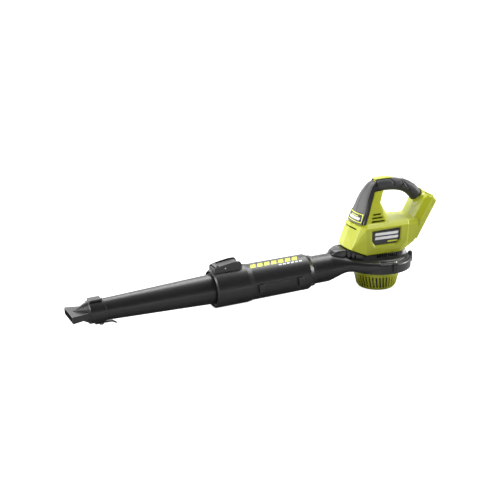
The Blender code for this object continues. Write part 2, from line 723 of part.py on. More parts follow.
# ---------------------------------------------------------------- tube line

def tube_frame():
    line = bpy.data.objects.new("tube_line", None)
    line.location = (0, 0, AXIS_HEIGHT * MM)
    line.rotation_euler = (0, -math.radians(DROOP_DEG), 0)
    PARTS.objects.link(line)
    return line


def on_line(name, outer, inner, look=None, steps=AROUND):
    """A round hollow piece on the tube line. Profiles are (station, radius), from the nozzle backwards."""
    profile = [(radius, station) for station, radius in reversed(outer)]
    profile += [(radius, station) for station, radius in inner]
    return turned(name, profile, look, steps, turn=(0, 90, 0), parent=LINE)


def line_box(name, low, high, look=None, bevel=0.0):
    return box(name, low, high, look, bevel, parent=LINE)


def sleeve():
    """The silencer's two half shells, its foam and the perforated tube inside."""
    r = SLEEVE_RADIUS
    blank = on_line(
        "sleeve_blank",
        [
            (SLEEVE_FRONT, r), (-190, r - 0.7), (-182, r - 1.4), (SLEEVE_REAR - 1.5, r - 4),
            (SLEEVE_REAR, r - 6),
        ],
        [
            (SLEEVE_FRONT, r - WALL), (-188, r - WALL - 0.8), (-186, PIPE_RADIUS + 0.6),
            (SLEEVE_REAR, PIPE_RADIUS + 0.6),
        ],
    )
    lower = line_box("sleeve_lower", (-400, -60, -60), (-150, 60, SLEEVE_SEAM - GAP), "black")
    keep(lower, blank)
    upper = line_box("sleeve_upper", (-400, -60, SLEEVE_SEAM), (-150, 60, 60), "black")
    keep(upper, blank)
    for i, station in enumerate(CLIP_STATIONS):
        for side in (-1, 1):
            near, far = sorted((side * 39.6, side * 47.0))
            low, high = (station - CLIP_HALF, near, -16), (station + CLIP_HALF, far, SLEEVE_SEAM - 1)
            join(lower, line_box(f"clip_{i}_{side}", low, high, bevel=0.8))
            near, far = sorted((side * 41.9, side * 45.2))
            low, high = (station - POCKET_HALF, near, -9), (station + POCKET_HALF, far, 12)
            cut(lower, line_box(f"clip_room_{i}_{side}", low, high))
    on_line(
        "silencer_foam",
        [(-340, r - WALL - 1.2), (-200, r - WALL - 1.2)],
        [(-340, 30.4), (-200, 30.4)],
        "foam", 32,
    )
    inner = on_line(
        "perforated_tube",
        [(-343.5, r - WALL - GAP), (-341, r - WALL - GAP), (-341, 30), (-199, 30)],
        [(-343.5, 28.2), (-199, 28.2)],
        "black", 32,
    )
    bm = bmesh.new()
    for row in range(4):
        for column in range(6):
            turn = Matrix.Rotation(math.tau * (column + 0.5 * (row % 2)) / 6, 4, "X")
            shape = turn @ Matrix.Translation((-322 + 34 * row, 0, 29)) @ Matrix.Diagonal((16, 8, 8, 1))
            bmesh.ops.create_cube(bm, size=1, matrix=shape)
    cut(inner, solid("perforations", bm, parent=LINE))


def lock_collar():
    r = COLLAR_RADIUS
    collar = on_line(
        "lock_collar",
        [(COLLAR_FRONT, 40.5), (COLLAR_FRONT + 3, r), (-337, r), (COLLAR_REAR, SLEEVE_RADIUS + 1.0)],
        [(COLLAR_FRONT, 37.2), (COLLAR_FRONT + 5, TUBE_RADIUS + 1.2), (-350, TUBE_RADIUS + 1.2), (-350, 36.4),
         (COLLAR_FRONT + 6, 36.4), (COLLAR_FRONT + 6, r - 2.1), (COLLAR_REAR, SLEEVE_RADIUS + 0.35)],
        "black",
    )
    cheek = [
        (-412, 39.2), (-412, 51), (-402, 54), (-386, 57), (-368, 59.2), (-356, 59.8), (-350.5, 58),
        (-347, 52), (-347, 39.2),
    ]
    for side in (-1, 1):
        join(collar, upright(f"cheek_{side + 1}", cheek, 3.6, y=side * 15.6, parent=LINE))
    join(collar, line_box("cheek_front", (-412, -15, 42.4), (-409, 15, 49.5)))
    join(collar, line_box("cheek_rear", (-349, -15, 42.4), (-347, 15, 50)))
    cut(collar, line_box("hook_slot", (-358.6, -5.8, 30), (-349.3, 5.8, 46)))
    x, z = LATCH_PIVOT
    cut(collar, rod("pin_hole", 1.75, -25, 25, at=(x, 0, z), turn=(90, 0, 0), parent=LINE))
    return collar


def latch():
    x, z = LATCH_PIVOT
    outline = [
        (-407.5, 47.2), (-407.5, 52.5), (-405, 55.6), (-401.5, 56), (-398, 53.2), (-386, 54.6), (-368, 56.6),
        (-356, 57), (-351.6, 54), (-351.6, 46.8), (-380, 45.4), (-392, 45.4),
    ]
    local = [(px - x, pz - z) for px, pz in outline]
    lever = plate("latch_lever", local, 26.4, "black", at=(x, 0, z), turn=(90, 0, 0), parent=LINE)
    hook = line_box("latch_hook", (-357, -5, 31.6), (-352, 5, 50))
    join(lever, hook)
    cut(lever, rod("lever_pin_hole", 1.75, -25, 25, at=(x, 0, z), turn=(90, 0, 0), parent=LINE))
    cut(lever, rod("spring_pocket", 3.7, 40, 51, at=(-399.5, 0, 0), parent=LINE))
    rod("latch_pin", 1.5, -17.2, 17.2, "steel", at=(x, 0, z), turn=(90, 0, 0), parent=LINE)
    coil("latch_spring", 2.6, 0.4, 6.6, 5, "steel", at=(-399.5, 0, COLLAR_RADIUS + 0.5), parent=LINE)


def blower_tube():
    wall = 2.0
    outer = [
        (TUBE_TIP, TUBE_TIP_RADIUS), (-664, TUBE_TIP_RADIUS + 0.2), (-655, 24.2), (-430, 32.7),
        (-421, TUBE_RADIUS), (TUBE_REAR, TUBE_RADIUS),
    ]
    inner = [(station, radius - wall) for station, radius in outer]
    tube = on_line("blower_tube", outer, inner, "black")
    cut(tube, line_box("hook_keyway", (-358.4, -5.7, 25), (TUBE_REAR + 5, 5.7, 40)))
    cut(tube, line_box("tooth_keyway", (TUBE_TIP - 5, -4.2, -30), (-680, 4.2, -15)))
    return tube


def nozzle():
    bore = TUBE_TIP_RADIUS + 0.55
    cap = on_line(
        "nozzle",
        [(CAP_FRONT, CAP_RADIUS - 0.9), (CAP_FRONT + 1.2, CAP_RADIUS), (CAP_REAR, CAP_RADIUS)],
        [
            (CAP_FRONT, CAP_RADIUS - 3), (TUBE_TIP - GAP, CAP_RADIUS - 3), (TUBE_TIP - GAP, bore),
            (CAP_REAR, bore),
        ],
        "black",
    )
    half, tall = MOUTH_HALF_WIDTH, MOUTH_HALF_HEIGHT
    fishtail = hull("fishtail_outer", [
        (MOUTH, half, tall), (MOUTH, half, -tall), (CAP_FRONT + 4, 23.0, tall - 1),
        (CAP_FRONT + 4, 23.0, 1 - tall),
    ], parent=LINE)
    circle = [math.tau * i / 24 for i in range(24)]

    def cone(name, radius, front, rise, base):
        points = [(base, radius * math.cos(a), radius * math.sin(a)) for a in circle]
        return hull(name, points + [(front, 2, rise), (front, 2, -rise)], parent=LINE)

    inner = hull("fishtail_inner", [
        (MOUTH - 2, half - 1.9, tall - 1.8), (MOUTH - 2, half - 1.9, 1.8 - tall),
        (CAP_FRONT + 2, 21, tall - 2.6), (CAP_FRONT + 2, 21, 2.6 - tall),
    ], parent=LINE)
    join(cap, fishtail, cone("cone_outer", CAP_RADIUS - 1.2, MOUTH + 8.5, tall - 0.6, CAP_FRONT + 2))
    cut(cap, inner, cone("cone_inner", CAP_RADIUS - 3, MOUTH + 16, tall - 3, CAP_FRONT + 2.5))
    throat = rod(
        "cap_throat", CAP_RADIUS - 4, CAP_FRONT + 1, CAP_FRONT + 9,
        steps=AROUND, turn=(0, 90, 0), parent=LINE,
    )
    cut(cap, throat)
    join(cap, line_box("cap_pad", (-696, -12, bore + 0.6), (-668, 12, CAP_RADIUS + 3.2), bevel=1.0))
    x, z = RELEASE_PIVOT
    for side in (-1, 1):
        near, far = sorted((side * 5.3, side * 7.4))
        low, high = (x - 5, near, z - 3.0), (x + 5, far, -24.5)
        join(cap, line_box(f"release_ear_{side + 1}", low, high, bevel=0.5))
    cut(cap, line_box("tooth_hole", (-687, -4.0, -30), (-680.6, 4.0, -20)))
    cut(cap, rod("release_pin_hole", 1.3, -12, 12, at=(x, 0, z), turn=(90, 0, 0), parent=LINE))
    return cap


def nozzle_release():
    """The lever under the nozzle: its tooth holds the tube, and its tail is pressed towards the tube."""
    x, z = RELEASE_PIVOT
    outline = [
        (-686, -28.6), (-686, -22.6), (-682, -22.6), (-681.4, -26.9), (-660, -26.9), (-645.5, -27.8),
        (-636.6, -34.4), (-637.8, -35.9), (-648, -30.6), (-662, -30.2), (-684, -30.2),
    ]
    local = [(px - x, pz - z) for px, pz in outline]
    lever = plate("nozzle_release", local, 6.6, "black", at=(x, 0, z), turn=(90, 0, 0), parent=LINE)
    cut(lever, rod("release_bore", 1.3, -12, 12, at=(x, 0, z), turn=(90, 0, 0), parent=LINE))
    rod("release_pin", 1.05, -7.2, 7.2, "steel", at=(x, 0, z), turn=(90, 0, 0), parent=LINE)


def shade_pieces():
    """Smooth shading on the round sides, with their edges left sharp."""
    for piece in PARTS.objects:
        if piece.type == "MESH":
            piece.data.shade_smooth()
            piece.data.set_sharp_from_angle(angle=math.radians(SHARP_DEG))


clear_scene()
PARTS = collection("leaf_blower")
CUTTERS = collection("cutters")
LINE = tube_frame()
scroll_halves()
intake_grille()
impeller()
motor()
housing()
front_trim()
grip()
trigger()
electrics()
sleeve()
lock_collar()
latch()
blower_tube()
nozzle()
nozzle_release()
shade_pieces()
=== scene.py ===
"""Looks of the cordless leaf blower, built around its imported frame.

Lengths are millimetres in the making and metres in the meshes. +Z is the fan's axis, the nozzle points to -X
and the battery foot to +X. Pieces of the tube line are made along X, at the line's own stations, and are then
tipped with the line by LINE.
"""

import json
import math

import bmesh
import bpy
from mathutils import Matrix, Vector


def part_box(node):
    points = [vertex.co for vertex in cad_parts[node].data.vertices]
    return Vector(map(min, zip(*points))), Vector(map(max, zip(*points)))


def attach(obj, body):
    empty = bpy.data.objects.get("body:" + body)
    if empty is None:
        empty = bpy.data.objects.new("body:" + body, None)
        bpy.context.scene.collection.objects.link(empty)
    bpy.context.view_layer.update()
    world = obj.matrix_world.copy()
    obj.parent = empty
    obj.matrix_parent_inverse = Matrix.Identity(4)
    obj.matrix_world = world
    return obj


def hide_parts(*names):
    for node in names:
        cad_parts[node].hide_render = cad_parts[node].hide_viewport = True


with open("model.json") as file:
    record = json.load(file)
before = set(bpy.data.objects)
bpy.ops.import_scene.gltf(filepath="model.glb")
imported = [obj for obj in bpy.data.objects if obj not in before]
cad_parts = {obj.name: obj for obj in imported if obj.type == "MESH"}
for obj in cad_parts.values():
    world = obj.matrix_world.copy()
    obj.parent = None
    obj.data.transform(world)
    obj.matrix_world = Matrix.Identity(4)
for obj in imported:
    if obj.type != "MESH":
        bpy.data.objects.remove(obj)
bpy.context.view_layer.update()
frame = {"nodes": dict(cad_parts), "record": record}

MM = 0.001
AROUND = 96  # sides of a large round piece
VOXEL = 1.0  # of the moulded shells
ON_AXIS = 1e-6  # a smaller radius is a pole
DROOP_DEG = 2.611
AXIS_HEIGHT = 65.1
SHARP_DEG = 35  # edges sharper than this stay hard in the shading


def moved(x=0.0, y=0.0, z=0.0):
    return Matrix.Translation((x, y, z))


def turned(degrees, axis):
    return Matrix.Rotation(math.radians(degrees), 4, axis)


ALONG_X = turned(90, "Y")
LINE = moved(z=AXIS_HEIGHT) @ turned(-DROOP_DEG, "Y")


# ---------------------------------------------------------------- mesh tools

def piece_from(name, bm, place=None):
    """An object from a bmesh in millimetres."""
    if place is not None:
        bm.transform(place)
    bmesh.ops.recalc_face_normals(bm, faces=bm.faces)
    bmesh.ops.scale(bm, vec=(MM, MM, MM), verts=bm.verts)
    mesh = bpy.data.meshes.new(name)
    bm.to_mesh(mesh)
    bm.free()
    obj = bpy.data.objects.new(name, mesh)
    bpy.context.scene.collection.objects.link(obj)
    return obj


def bake(obj):
    """Applies the object's modifiers."""
    depsgraph = bpy.context.evaluated_depsgraph_get()
    made = bpy.data.meshes.new_from_object(obj.evaluated_get(depsgraph))
    old = obj.data
    obj.modifiers.clear()
    obj.data = made
    bpy.data.meshes.remove(old)
    return obj


def combine(obj, operation, tools):
    """Applies a boolean with each tool, and removes the tools."""
    for tool in tools:
        modifier = obj.modifiers.new("combine", "BOOLEAN")
        modifier.operation = operation
        modifier.object = tool
        modifier.solver = "MANIFOLD"
    bake(obj)
    for tool in tools:
        bpy.data.objects.remove(tool)
    return obj


def cut(obj, *tools):
    return combine(obj, "DIFFERENCE", tools)


def join(obj, *tools):
    return combine(obj, "UNION", tools)


def keep(obj, *tools):
    return combine(obj, "INTERSECT", tools)


def copy(obj, name):
    made = obj.copy()
    made.data = obj.data.copy()
    made.name = name
    bpy.context.scene.collection.objects.link(made)
    return made


def round_edges(obj, width, segments=3, angle=25):
    bevel = obj.modifiers.new("edges", "BEVEL")
    bevel.width = width * MM
    bevel.segments = segments
    bevel.limit_method = "ANGLE"
    bevel.angle_limit = math.radians(angle)
    return bake(obj)


def moulded(obj, smoothing, voxel=VOXEL):
    """Melts a rough assembly of solids into one soft-edged moulding."""
    remesh = obj.modifiers.new("voxels", "REMESH")
    remesh.mode = "VOXEL"
    remesh.voxel_size = voxel * MM
    soften = obj.modifiers.new("soften", "SMOOTH")
    soften.factor = 0.5
    soften.iterations = smoothing
    return bake(obj)


def hull(name, points, place=None, mirrored=True):
    """The convex body round some points, and round their mirror images across y = 0."""
    bm = bmesh.new()
    for x, y, z in points:
        bm.verts.new((x, y, z))
        if y and mirrored:
            bm.verts.new((x, -y, z))
    found = bmesh.ops.convex_hull(bm, input=bm.verts)
    spare = {v for v in found["geom_interior"] + found["geom_unused"] if isinstance(v, bmesh.types.BMVert)}
    bmesh.ops.delete(bm, geom=list(spare), context="VERTS")
    bmesh.ops.dissolve_limit(bm, angle_limit=math.radians(0.5), verts=bm.verts, edges=bm.edges)
    return piece_from(name, bm, place)


def block(name, low, high, place=None, bevel=0.0, segments=3):
    bm = bmesh.new()
    size = [h - l for l, h in zip(low, high)]
    middle = [(h + l) / 2 for l, h in zip(low, high)]
    bmesh.ops.create_cube(bm, size=1, matrix=Matrix.Translation(middle) @ Matrix.Diagonal((*size, 1)))
    if bevel:
        bmesh.ops.bevel(bm, geom=bm.edges, offset=bevel, segments=segments, affect="EDGES", profile=0.5)
    return piece_from(name, bm, place)


def loft(name, sections, place=None):
    """A closed body through rings of points with the same count, capped at both ends."""
    bm = bmesh.new()
    rings = [[bm.verts.new(point) for point in section] for section in sections]
    for ring, after in zip(rings, rings[1:]):
        for i in range(len(ring)):
            j = (i + 1) % len(ring)
            bm.faces.new((ring[i], ring[j], after[j], after[i]))
    bm.faces.new(rings[0])
    bm.faces.new(rings[-1])
    return piece_from(name, bm, place)


def rounded(points, radius, steps=4, closed=True):
    """A polygon with its corners rounded. A corner with a third value has that radius of its own."""
    found = []
    count = len(points)
    for i, corner in enumerate(points):
        here = Vector(corner[:2])
        if not closed and i in (0, count - 1):
            found.append(tuple(here))
            continue
        before = Vector(points[i - 1][:2]) - here
        after = Vector(points[(i + 1) % count][:2]) - here
        half = before.angle(after) / 2
        wanted = corner[2] if len(corner) > 2 else radius
        if wanted <= 0 or half > math.radians(88):
            found.append(tuple(here))
            continue
        reach = min(wanted / math.tan(half), 0.48 * before.length, 0.48 * after.length)
        size = reach * math.tan(half)
        before.normalize()
        after.normalize()
        centre = here + (before + after).normalized() * (size / math.sin(half))
        first, last = here + before * reach - centre, here + after * reach - centre
        start = math.atan2(first.y, first.x)
        sweep = (math.atan2(last.y, last.x) - start + math.pi) % math.tau - math.pi
        for k in range(steps + 1):
            angle = start + sweep * k / steps
            found.append((centre.x + size * math.cos(angle), centre.y + size * math.sin(angle)))
    return found


def lathe(name, profile, steps=AROUND, place=None):
    """A turned body round Z from (radius, height) points. It closes, and points on the axis become poles."""
    bm = bmesh.new()
    turns = [math.tau * i / steps for i in range(steps)]
    rings = []
    for radius, height in profile:
        if radius < ON_AXIS:
            rings.append([bm.verts.new((0, 0, height))])
            continue
        rings.append([bm.verts.new((radius * math.cos(a), radius * math.sin(a), height)) for a in turns])
    hollow = min(radius for radius, _ in profile) > ON_AXIS
    pairs = list(zip(rings, rings[1:])) + ([(rings[-1], rings[0])] if hollow else [])
    for ring, after in pairs:
        for i in range(steps):
            j = (i + 1) % steps
            corners = [
                ring[i % len(ring)], ring[j % len(ring)], after[j % len(after)], after[i % len(after)],
            ]
            corners = list(dict.fromkeys(corners))  # a pole comes twice
            if len(corners) > 2:
                bm.faces.new(corners)
    return piece_from(name, bm, place)


def line_lathe(name, profile, steps=AROUND):
    """A turned body on the tube line. The profile is (station, radius)."""
    return lathe(name, [(radius, station) for station, radius in profile], steps, LINE @ ALONG_X)


def rod(name, radius, low, high, place=None, steps=24):
    return lathe(name, [(0, high), (radius, high), (radius, low), (0, low)], steps, place)


def slab(name, outline, thickness, place=None):
    """A flat outline in X and Z, with its thickness either side of y = 0."""
    bm = bmesh.new()
    face = bm.faces.new([bm.verts.new((x, -thickness / 2, z)) for x, z in outline])
    extruded = bmesh.ops.extrude_face_region(bm, geom=[face])
    moved = [v for v in extruded["geom"] if isinstance(v, bmesh.types.BMVert)]
    bmesh.ops.translate(bm, verts=moved, vec=(0, thickness, 0))
    return piece_from(name, bm, place)


def smooth(t):
    t = min(1.0, max(0.0, t))
    return t * t * (3 - 2 * t)


def mix(a, b, t):
    return a + (b - a) * t


def axis_height(x):
    return AXIS_HEIGHT + x * math.tan(math.radians(DROOP_DEG))


def between(p, q, r, s, t):
    """A Catmull-Rom curve's value between q and r."""
    square = 2 * p - 5 * q + 4 * r - s
    cube = 3 * q - p - 3 * r + s
    return 0.5 * (2 * q + (r - p) * t + square * t * t + cube * t ** 3)


def spline(knots, count):
    """Evenly stepped points on a smooth curve through the knots, with as many coordinates as they have."""
    first = [2 * a - b for a, b in zip(knots[0], knots[1])]
    last = [2 * a - b for a, b in zip(knots[-1], knots[-2])]
    padded = [first, *knots, last]
    found = []
    for step in range(count):
        t = step / (count - 1) * (len(knots) - 1)
        span = min(int(t), len(knots) - 2)
        t -= span
        found.append([between(*values, t) for values in zip(*padded[span:span + 4])])
    return found


def oval(half_width, half_height, power, sides):
    """Points (across, up) of a section: an ellipse where power is 1, and squarer below that."""
    found = []
    for k in range(sides):
        c, s = math.cos(math.tau * k / sides), math.sin(math.tau * k / sides)
        across = half_width * math.copysign(abs(c) ** power, c)
        found.append((across, half_height * math.copysign(abs(s) ** power, s)))
    return found


def along(points):
    """The points of a path in X and Z, each with the path's direction there."""
    found = []
    for i, (x, z) in enumerate(points):
        ahead, behind = points[min(i + 1, len(points) - 1)], points[max(i - 1, 0)]
        found.append((x, z, Vector((ahead[0] - behind[0], ahead[1] - behind[1])).normalized()))
    return found


# ---------------------------------------------------------------- materials

COLOUR_CELLS = 35  # in a metre, of the slow change of colour
GLOSS_CELLS = 240


def new_material(name, colour, roughness, metallic):
    made = bpy.data.materials.new(name)
    made.use_nodes = True
    shader = made.node_tree.nodes["Principled BSDF"]
    shader.inputs["Base Color"].default_value = (*colour, 1)
    shader.inputs["Roughness"].default_value = roughness
    shader.inputs["Metallic"].default_value = metallic
    return made


def noise(tree, scale, detail, stretch=(1, 1, 1)):
    """A noise texture in the object's own coordinates. Scale is cells in a metre."""
    nodes, links = tree.nodes, tree.links
    place = nodes.new("ShaderNodeTexCoord")
    mapping = nodes.new("ShaderNodeMapping")
    mapping.inputs["Scale"].default_value = stretch
    links.new(place.outputs["Object"], mapping.inputs["Vector"])
    texture = nodes.new("ShaderNodeTexNoise")
    texture.inputs["Scale"].default_value = scale
    texture.inputs["Detail"].default_value = detail
    links.new(mapping.outputs["Vector"], texture.inputs["Vector"])
    return texture.outputs["Fac"]


def spread(tree, value, low, high):
    """The value 0.3 to 0.7 of a noise, spread from low to high."""
    ranged = tree.nodes.new("ShaderNodeMapRange")
    ranged.inputs["From Min"].default_value = 0.3
    ranged.inputs["From Max"].default_value = 0.7
    ranged.inputs["To Min"].default_value = low
    ranged.inputs["To Max"].default_value = high
    tree.links.new(value, ranged.inputs["Value"])
    return ranged.outputs["Result"]


def tinted(tree, factor, dark, light):
    blend = tree.nodes.new("ShaderNodeMix")
    blend.data_type = "RGBA"
    blend.inputs["A"].default_value = (*dark, 1)
    blend.inputs["B"].default_value = (*light, 1)
    tree.links.new(factor, blend.inputs["Factor"])
    return blend.outputs["Result"]


def shaded(colour, factor):
    return tuple(min(1.0, channel * factor) for channel in colour)


def textured(name, colour, roughness, grain, depth, metallic=0.0, stretch=(1, 1, 1), uneven=0.05):
    """A surface with a fine grain (cells in a metre), and slow changes of colour and gloss."""
    made = new_material(name, colour, roughness, metallic)
    tree = made.node_tree
    shader = tree.nodes["Principled BSDF"]
    slow = spread(tree, noise(tree, COLOUR_CELLS, 3.0), 0.0, 1.0)
    colours = tinted(tree, slow, shaded(colour, 1 - uneven), shaded(colour, 1 + uneven))
    tree.links.new(colours, shader.inputs["Base Color"])
    gloss = spread(tree, noise(tree, GLOSS_CELLS, 4.0, stretch), roughness - 0.04, roughness + 0.05)
    tree.links.new(gloss, shader.inputs["Roughness"])
    bump = tree.nodes.new("ShaderNodeBump")
    bump.inputs["Strength"].default_value = 0.5
    bump.inputs["Distance"].default_value = depth * MM
    tree.links.new(noise(tree, grain, 3.0, stretch), bump.inputs["Height"])
    tree.links.new(bump.outputs["Normal"], shader.inputs["Normal"])
    return made


LIME = (0.41, 0.445, 0.014)
LOOKS = {
    "lime_plastic": textured("lime_moulding", LIME, 0.36, 1500, 0.03, uneven=0.03),
    "black_plastic": textured("black_moulding", (0.012, 0.012, 0.0126), 0.34, 1400, 0.04, uneven=0.12),
    "grey_plastic": textured("grey_grained", (0.085, 0.085, 0.0875), 0.6, 1000, 0.12, uneven=0.06),
    "soft_grip": textured("soft_rubber", (0.012, 0.012, 0.0126), 0.56, 1100, 0.10, uneven=0.12),
    "steel": textured(
        "bright_steel", (0.55, 0.55, 0.56), 0.32, 900, 0.02, metallic=1.0, stretch=(1, 1, 6),
    ),
    "copper": textured(
        "enamelled_copper", (0.62, 0.26, 0.1), 0.3, 1300, 0.15, metallic=1.0, stretch=(1, 1, 5),
    ),
    "brass": textured("stamped_brass", (0.72, 0.52, 0.22), 0.3, 900, 0.02, metallic=1.0),
    "board": textured("circuit_board", (0.02, 0.12, 0.05), 0.4, 500, 0.05, uneven=0.2),
    "foam": textured("acoustic_foam", (0.05, 0.05, 0.053), 0.95, 420, 0.8, uneven=0.25),
}
WHITE_INK = textured("white_print", (0.78, 0.78, 0.78), 0.45, 1500, 0.01)
LIME_INK = textured("lime_print", (0.62, 0.68, 0.02), 0.4, 1500, 0.01)
GREY_INSERT = textured("grey_insert", (0.26, 0.26, 0.265), 0.42, 1200, 0.04)


def finish(obj, body, slot, *nodes, look=None, angle=SHARP_DEG):
    """Gives a mesh its shading, its material (the look of its slot unless another look is given) and its
    body, and hides the CAD nodes that it stands for.
    """
    obj.data.materials.clear()
    obj.data.materials.append(look or LOOKS[slot])
    obj.data.polygons.foreach_set("material_index", [0] * len(obj.data.polygons))
    obj.data.shade_smooth()
    obj.data.set_sharp_from_angle(angle=math.radians(angle))
    normals = obj.modifiers.new("normals", "WEIGHTED_NORMAL")
    normals.keep_sharp = True
    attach(obj, body)
    if nodes:
        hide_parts(*nodes)
    return obj


# ---------------------------------------------------------------- scroll

SCROLL_RADIUS = 80.0
SCROLL_BOTTOM = 49.5
SCROLL_RIM = 73.5
DECK_TOP = 80.0
PIPE_RADIUS = 32.3
PIPE_END = -196.0
PIPE_JOIN = -132.0
WALL = 2.5
LUG_ANGLES = (-87.0, -14.0, 95.0)
LUG_TOP = 78.0
SCREW_HEAD = 2.8
SCREW_LENGTH = 20
VENTS = 10
VENT_PITCH = 5.3
VENT_WIDTH = 3.5
CHIN_SLOTS = [(-93.3, 25), (-84, 30), (-75, 34)]
CHIN_SLOT_TURN = 22


def scroll_section(x, wall, sides=48):
    """A cross-section of the outlet: round where it is the pipe, flat and wide inside the scroll."""
    t = smooth((x - PIPE_JOIN) / 95)
    middle = axis_height(x)
    half = max(PIPE_RADIUS, PIPE_RADIUS + 0.436 * (x + 127)) - wall
    low = mix(middle - PIPE_RADIUS, SCROLL_BOTTOM + 0.4, smooth((x - PIPE_JOIN + 2) / 48)) + wall
    high = mix(middle + PIPE_RADIUS, DECK_TOP - 0.5, t) - wall
    power = mix(1.0, 0.45, t)
    centre, tall = (low + high) / 2, (high - low) / 2
    return [(x, y, centre + up) for y, up in oval(half, tall, power, sides)]


def lug_spot(angle, radius=SCROLL_RADIUS + 1.5):
    return radius * math.cos(math.radians(angle)), radius * math.sin(math.radians(angle))


def scroll():
    """The fan's housing in two halves, with the outlet to the tube line and a vented skirt under the body."""
    stations = [
        PIPE_END, PIPE_JOIN, -127, -122, -117, -112, -107, -102, -96, -90, -84, -75, -66, -56, -44, -28,
    ]
    blank = lathe("scroll_blank", [
        (0, DECK_TOP), (63, DECK_TOP), (66.5, 78.6), (70.5, 74.2), (76.5, SCROLL_RIM),
        (SCROLL_RADIUS, 70.5), (SCROLL_RADIUS, SCROLL_BOTTOM + 1), (SCROLL_RADIUS - 1, SCROLL_BOTTOM),
        (0, SCROLL_BOTTOM),
    ], 128)
    outlet = loft("outlet", [scroll_section(x, 0) for x in stations])
    hump = hull("hump", [
        (-84, 29, 101.3), (-53, 42, 88.7), (-53, 41, 78), (-84, 30, 80), (-119, 18, 80), (-127, 10, 88),
        (-127, 0, 90.5), (-118, 15, 97.5), (-118, 0, 99.5), (-104, 22, 101.8), (-104, 0, 103),
        (-92, 27, 102), (-53, 0, 88.7), (-84, 0, 101.3),
    ])
    join(blank, outlet, hump)
    moulded(blank, 14)
    skirt = hull("skirt", [
        (-58, 46.0, 74), (-58, 46, 80.5), (-58, 41.5, 89.0), (40, 46, 74), (40, 46, 80.5),
        (40, 41.5, 89.0), (62, 32, 74), (62, 32, 80.5), (60, 29, 89.0),
    ])
    join(blank, skirt)
    rooms = [
        lathe("fan_room", [
            (0, DECK_TOP - WALL), (61, DECK_TOP - WALL), (69, 71.5), (SCROLL_RADIUS - WALL, 69.5),
            (SCROLL_RADIUS - WALL, SCROLL_BOTTOM + WALL), (0, SCROLL_BOTTOM + WALL),
        ], 96),
        loft("duct", [scroll_section(x, WALL) for x in [PIPE_END - 2, *stations[1:]]]),
        hull("skirt_room", [
            (-54, 38.5, 80.4), (-54, 38.5, 95), (37, 38.5, 80.4), (37, 38.5, 95), (56, 27.5, 80.4),
            (56, 27.5, 95),
        ]),
        rod("inlet", 40, SCROLL_BOTTOM - 5, SCROLL_BOTTOM + 5, steps=96),
        rod("motor_nose", 12, DECK_TOP - 8, DECK_TOP + 5, steps=48),
    ]
    cut(blank, *rooms)
    vents = []
    for side in (-1, 1):
        for i in range(VENTS):
            low_x, y = -23 + VENT_PITCH * i, side * 42.5
            vents.append(block("vent", (low_x, y - 5, 81.3), (low_x + VENT_WIDTH, y + 5, 88.9)))
        for x, y in CHIN_SLOTS:
            place = moved(x, side * y) @ turned(side * CHIN_SLOT_TURN, "Z")
            low_y, high_y = sorted((side * 4, side * -7))
            vents.append(block("chin_gap", (-2.4, low_y, 84), (2.4, high_y, 106), place))
    cut(blank, *vents)
    lugs = []
    for angle in LUG_ANGLES:
        place = moved(*lug_spot(angle)) @ turned(angle, "Z")
        outline = rounded([(-5, -6), (4, -5.2), (4, 5.2), (-5, 6)], 2.4)
        lug = loft("lug", [[(x, y, z) for x, y in outline] for z in (SCROLL_BOTTOM + 5, LUG_TOP)], place)
        lugs.append(round_edges(lug, 0.7, 2))
    join(blank, *lugs)
    cut(blank, *[rod("lug_hole", 1.6, SCROLL_BOTTOM, 90, moved(*lug_spot(angle))) for angle in LUG_ANGLES])
    seam = [(-210, 55.2), (-127, 66), (-31, SCROLL_RIM - 1.5), (110, SCROLL_RIM - 1.5)]
    lower = copy(blank, "scroll_lower")
    keep(lower, slab("below", [(-210, 10), (110, 10), *reversed(seam)], 200))
    blank.name = "scroll_upper"
    keep(blank, slab("above", [(110, 120), (-210, 120), *[(x, z + 0.5) for x, z in seam]], 200))
    finish(lower, "casing", "black_plastic", "volute_lower")
    finish(blank, "casing", "black_plastic", "volute_upper")


def scroll_screws():
    for i, angle in enumerate(LUG_ANGLES):
        place = moved(*lug_spot(angle), LUG_TOP + 0.1)
        made = screw(f"scroll_fastener_{i + 1}", SCREW_HEAD, SCREW_LENGTH, place)
        finish(made, "casing", "steel", f"scroll_screw_{i + 1}")


def screw(name, head, length, place):
    """A pan-head screw with a six-lobed socket and a ridged shank. Its head stands on local z = 0."""
    ridges = []
    turns = int(length / 1.5)
    for i in range(turns):
        z = -1.0 - i * (length - 2.5) / turns
        ridges += [(1.1, z), (1.4, z - 0.5)]
    profile = rounded([(0, 2.2, 0), (head * 0.72, 2.2), (head, 1.0), (head, 0, 0.15)], 0.7, 4, closed=False)
    body = lathe(name, [*profile, (1.1, 0), *ridges, (0.9, -length + 1), (0, -length)], 24, place)
    lobes = []
    for k in range(48):
        reach = 1.25 + 0.28 * math.cos(6 * math.tau * k / 48)
        lobes.append((reach * math.cos(math.tau * k / 48), reach * math.sin(math.tau * k / 48)))
    return cut(body, loft("socket", [[(x, y, z) for x, y in lobes] for z in (0.9, 3)], place))


# ---------------------------------------------------------------- grille

GRILLE_RADIUS = 53.0
GRILLE_SLOTS = 40
SLOT_LEAN = 7
GUARD_SLOTS = 60


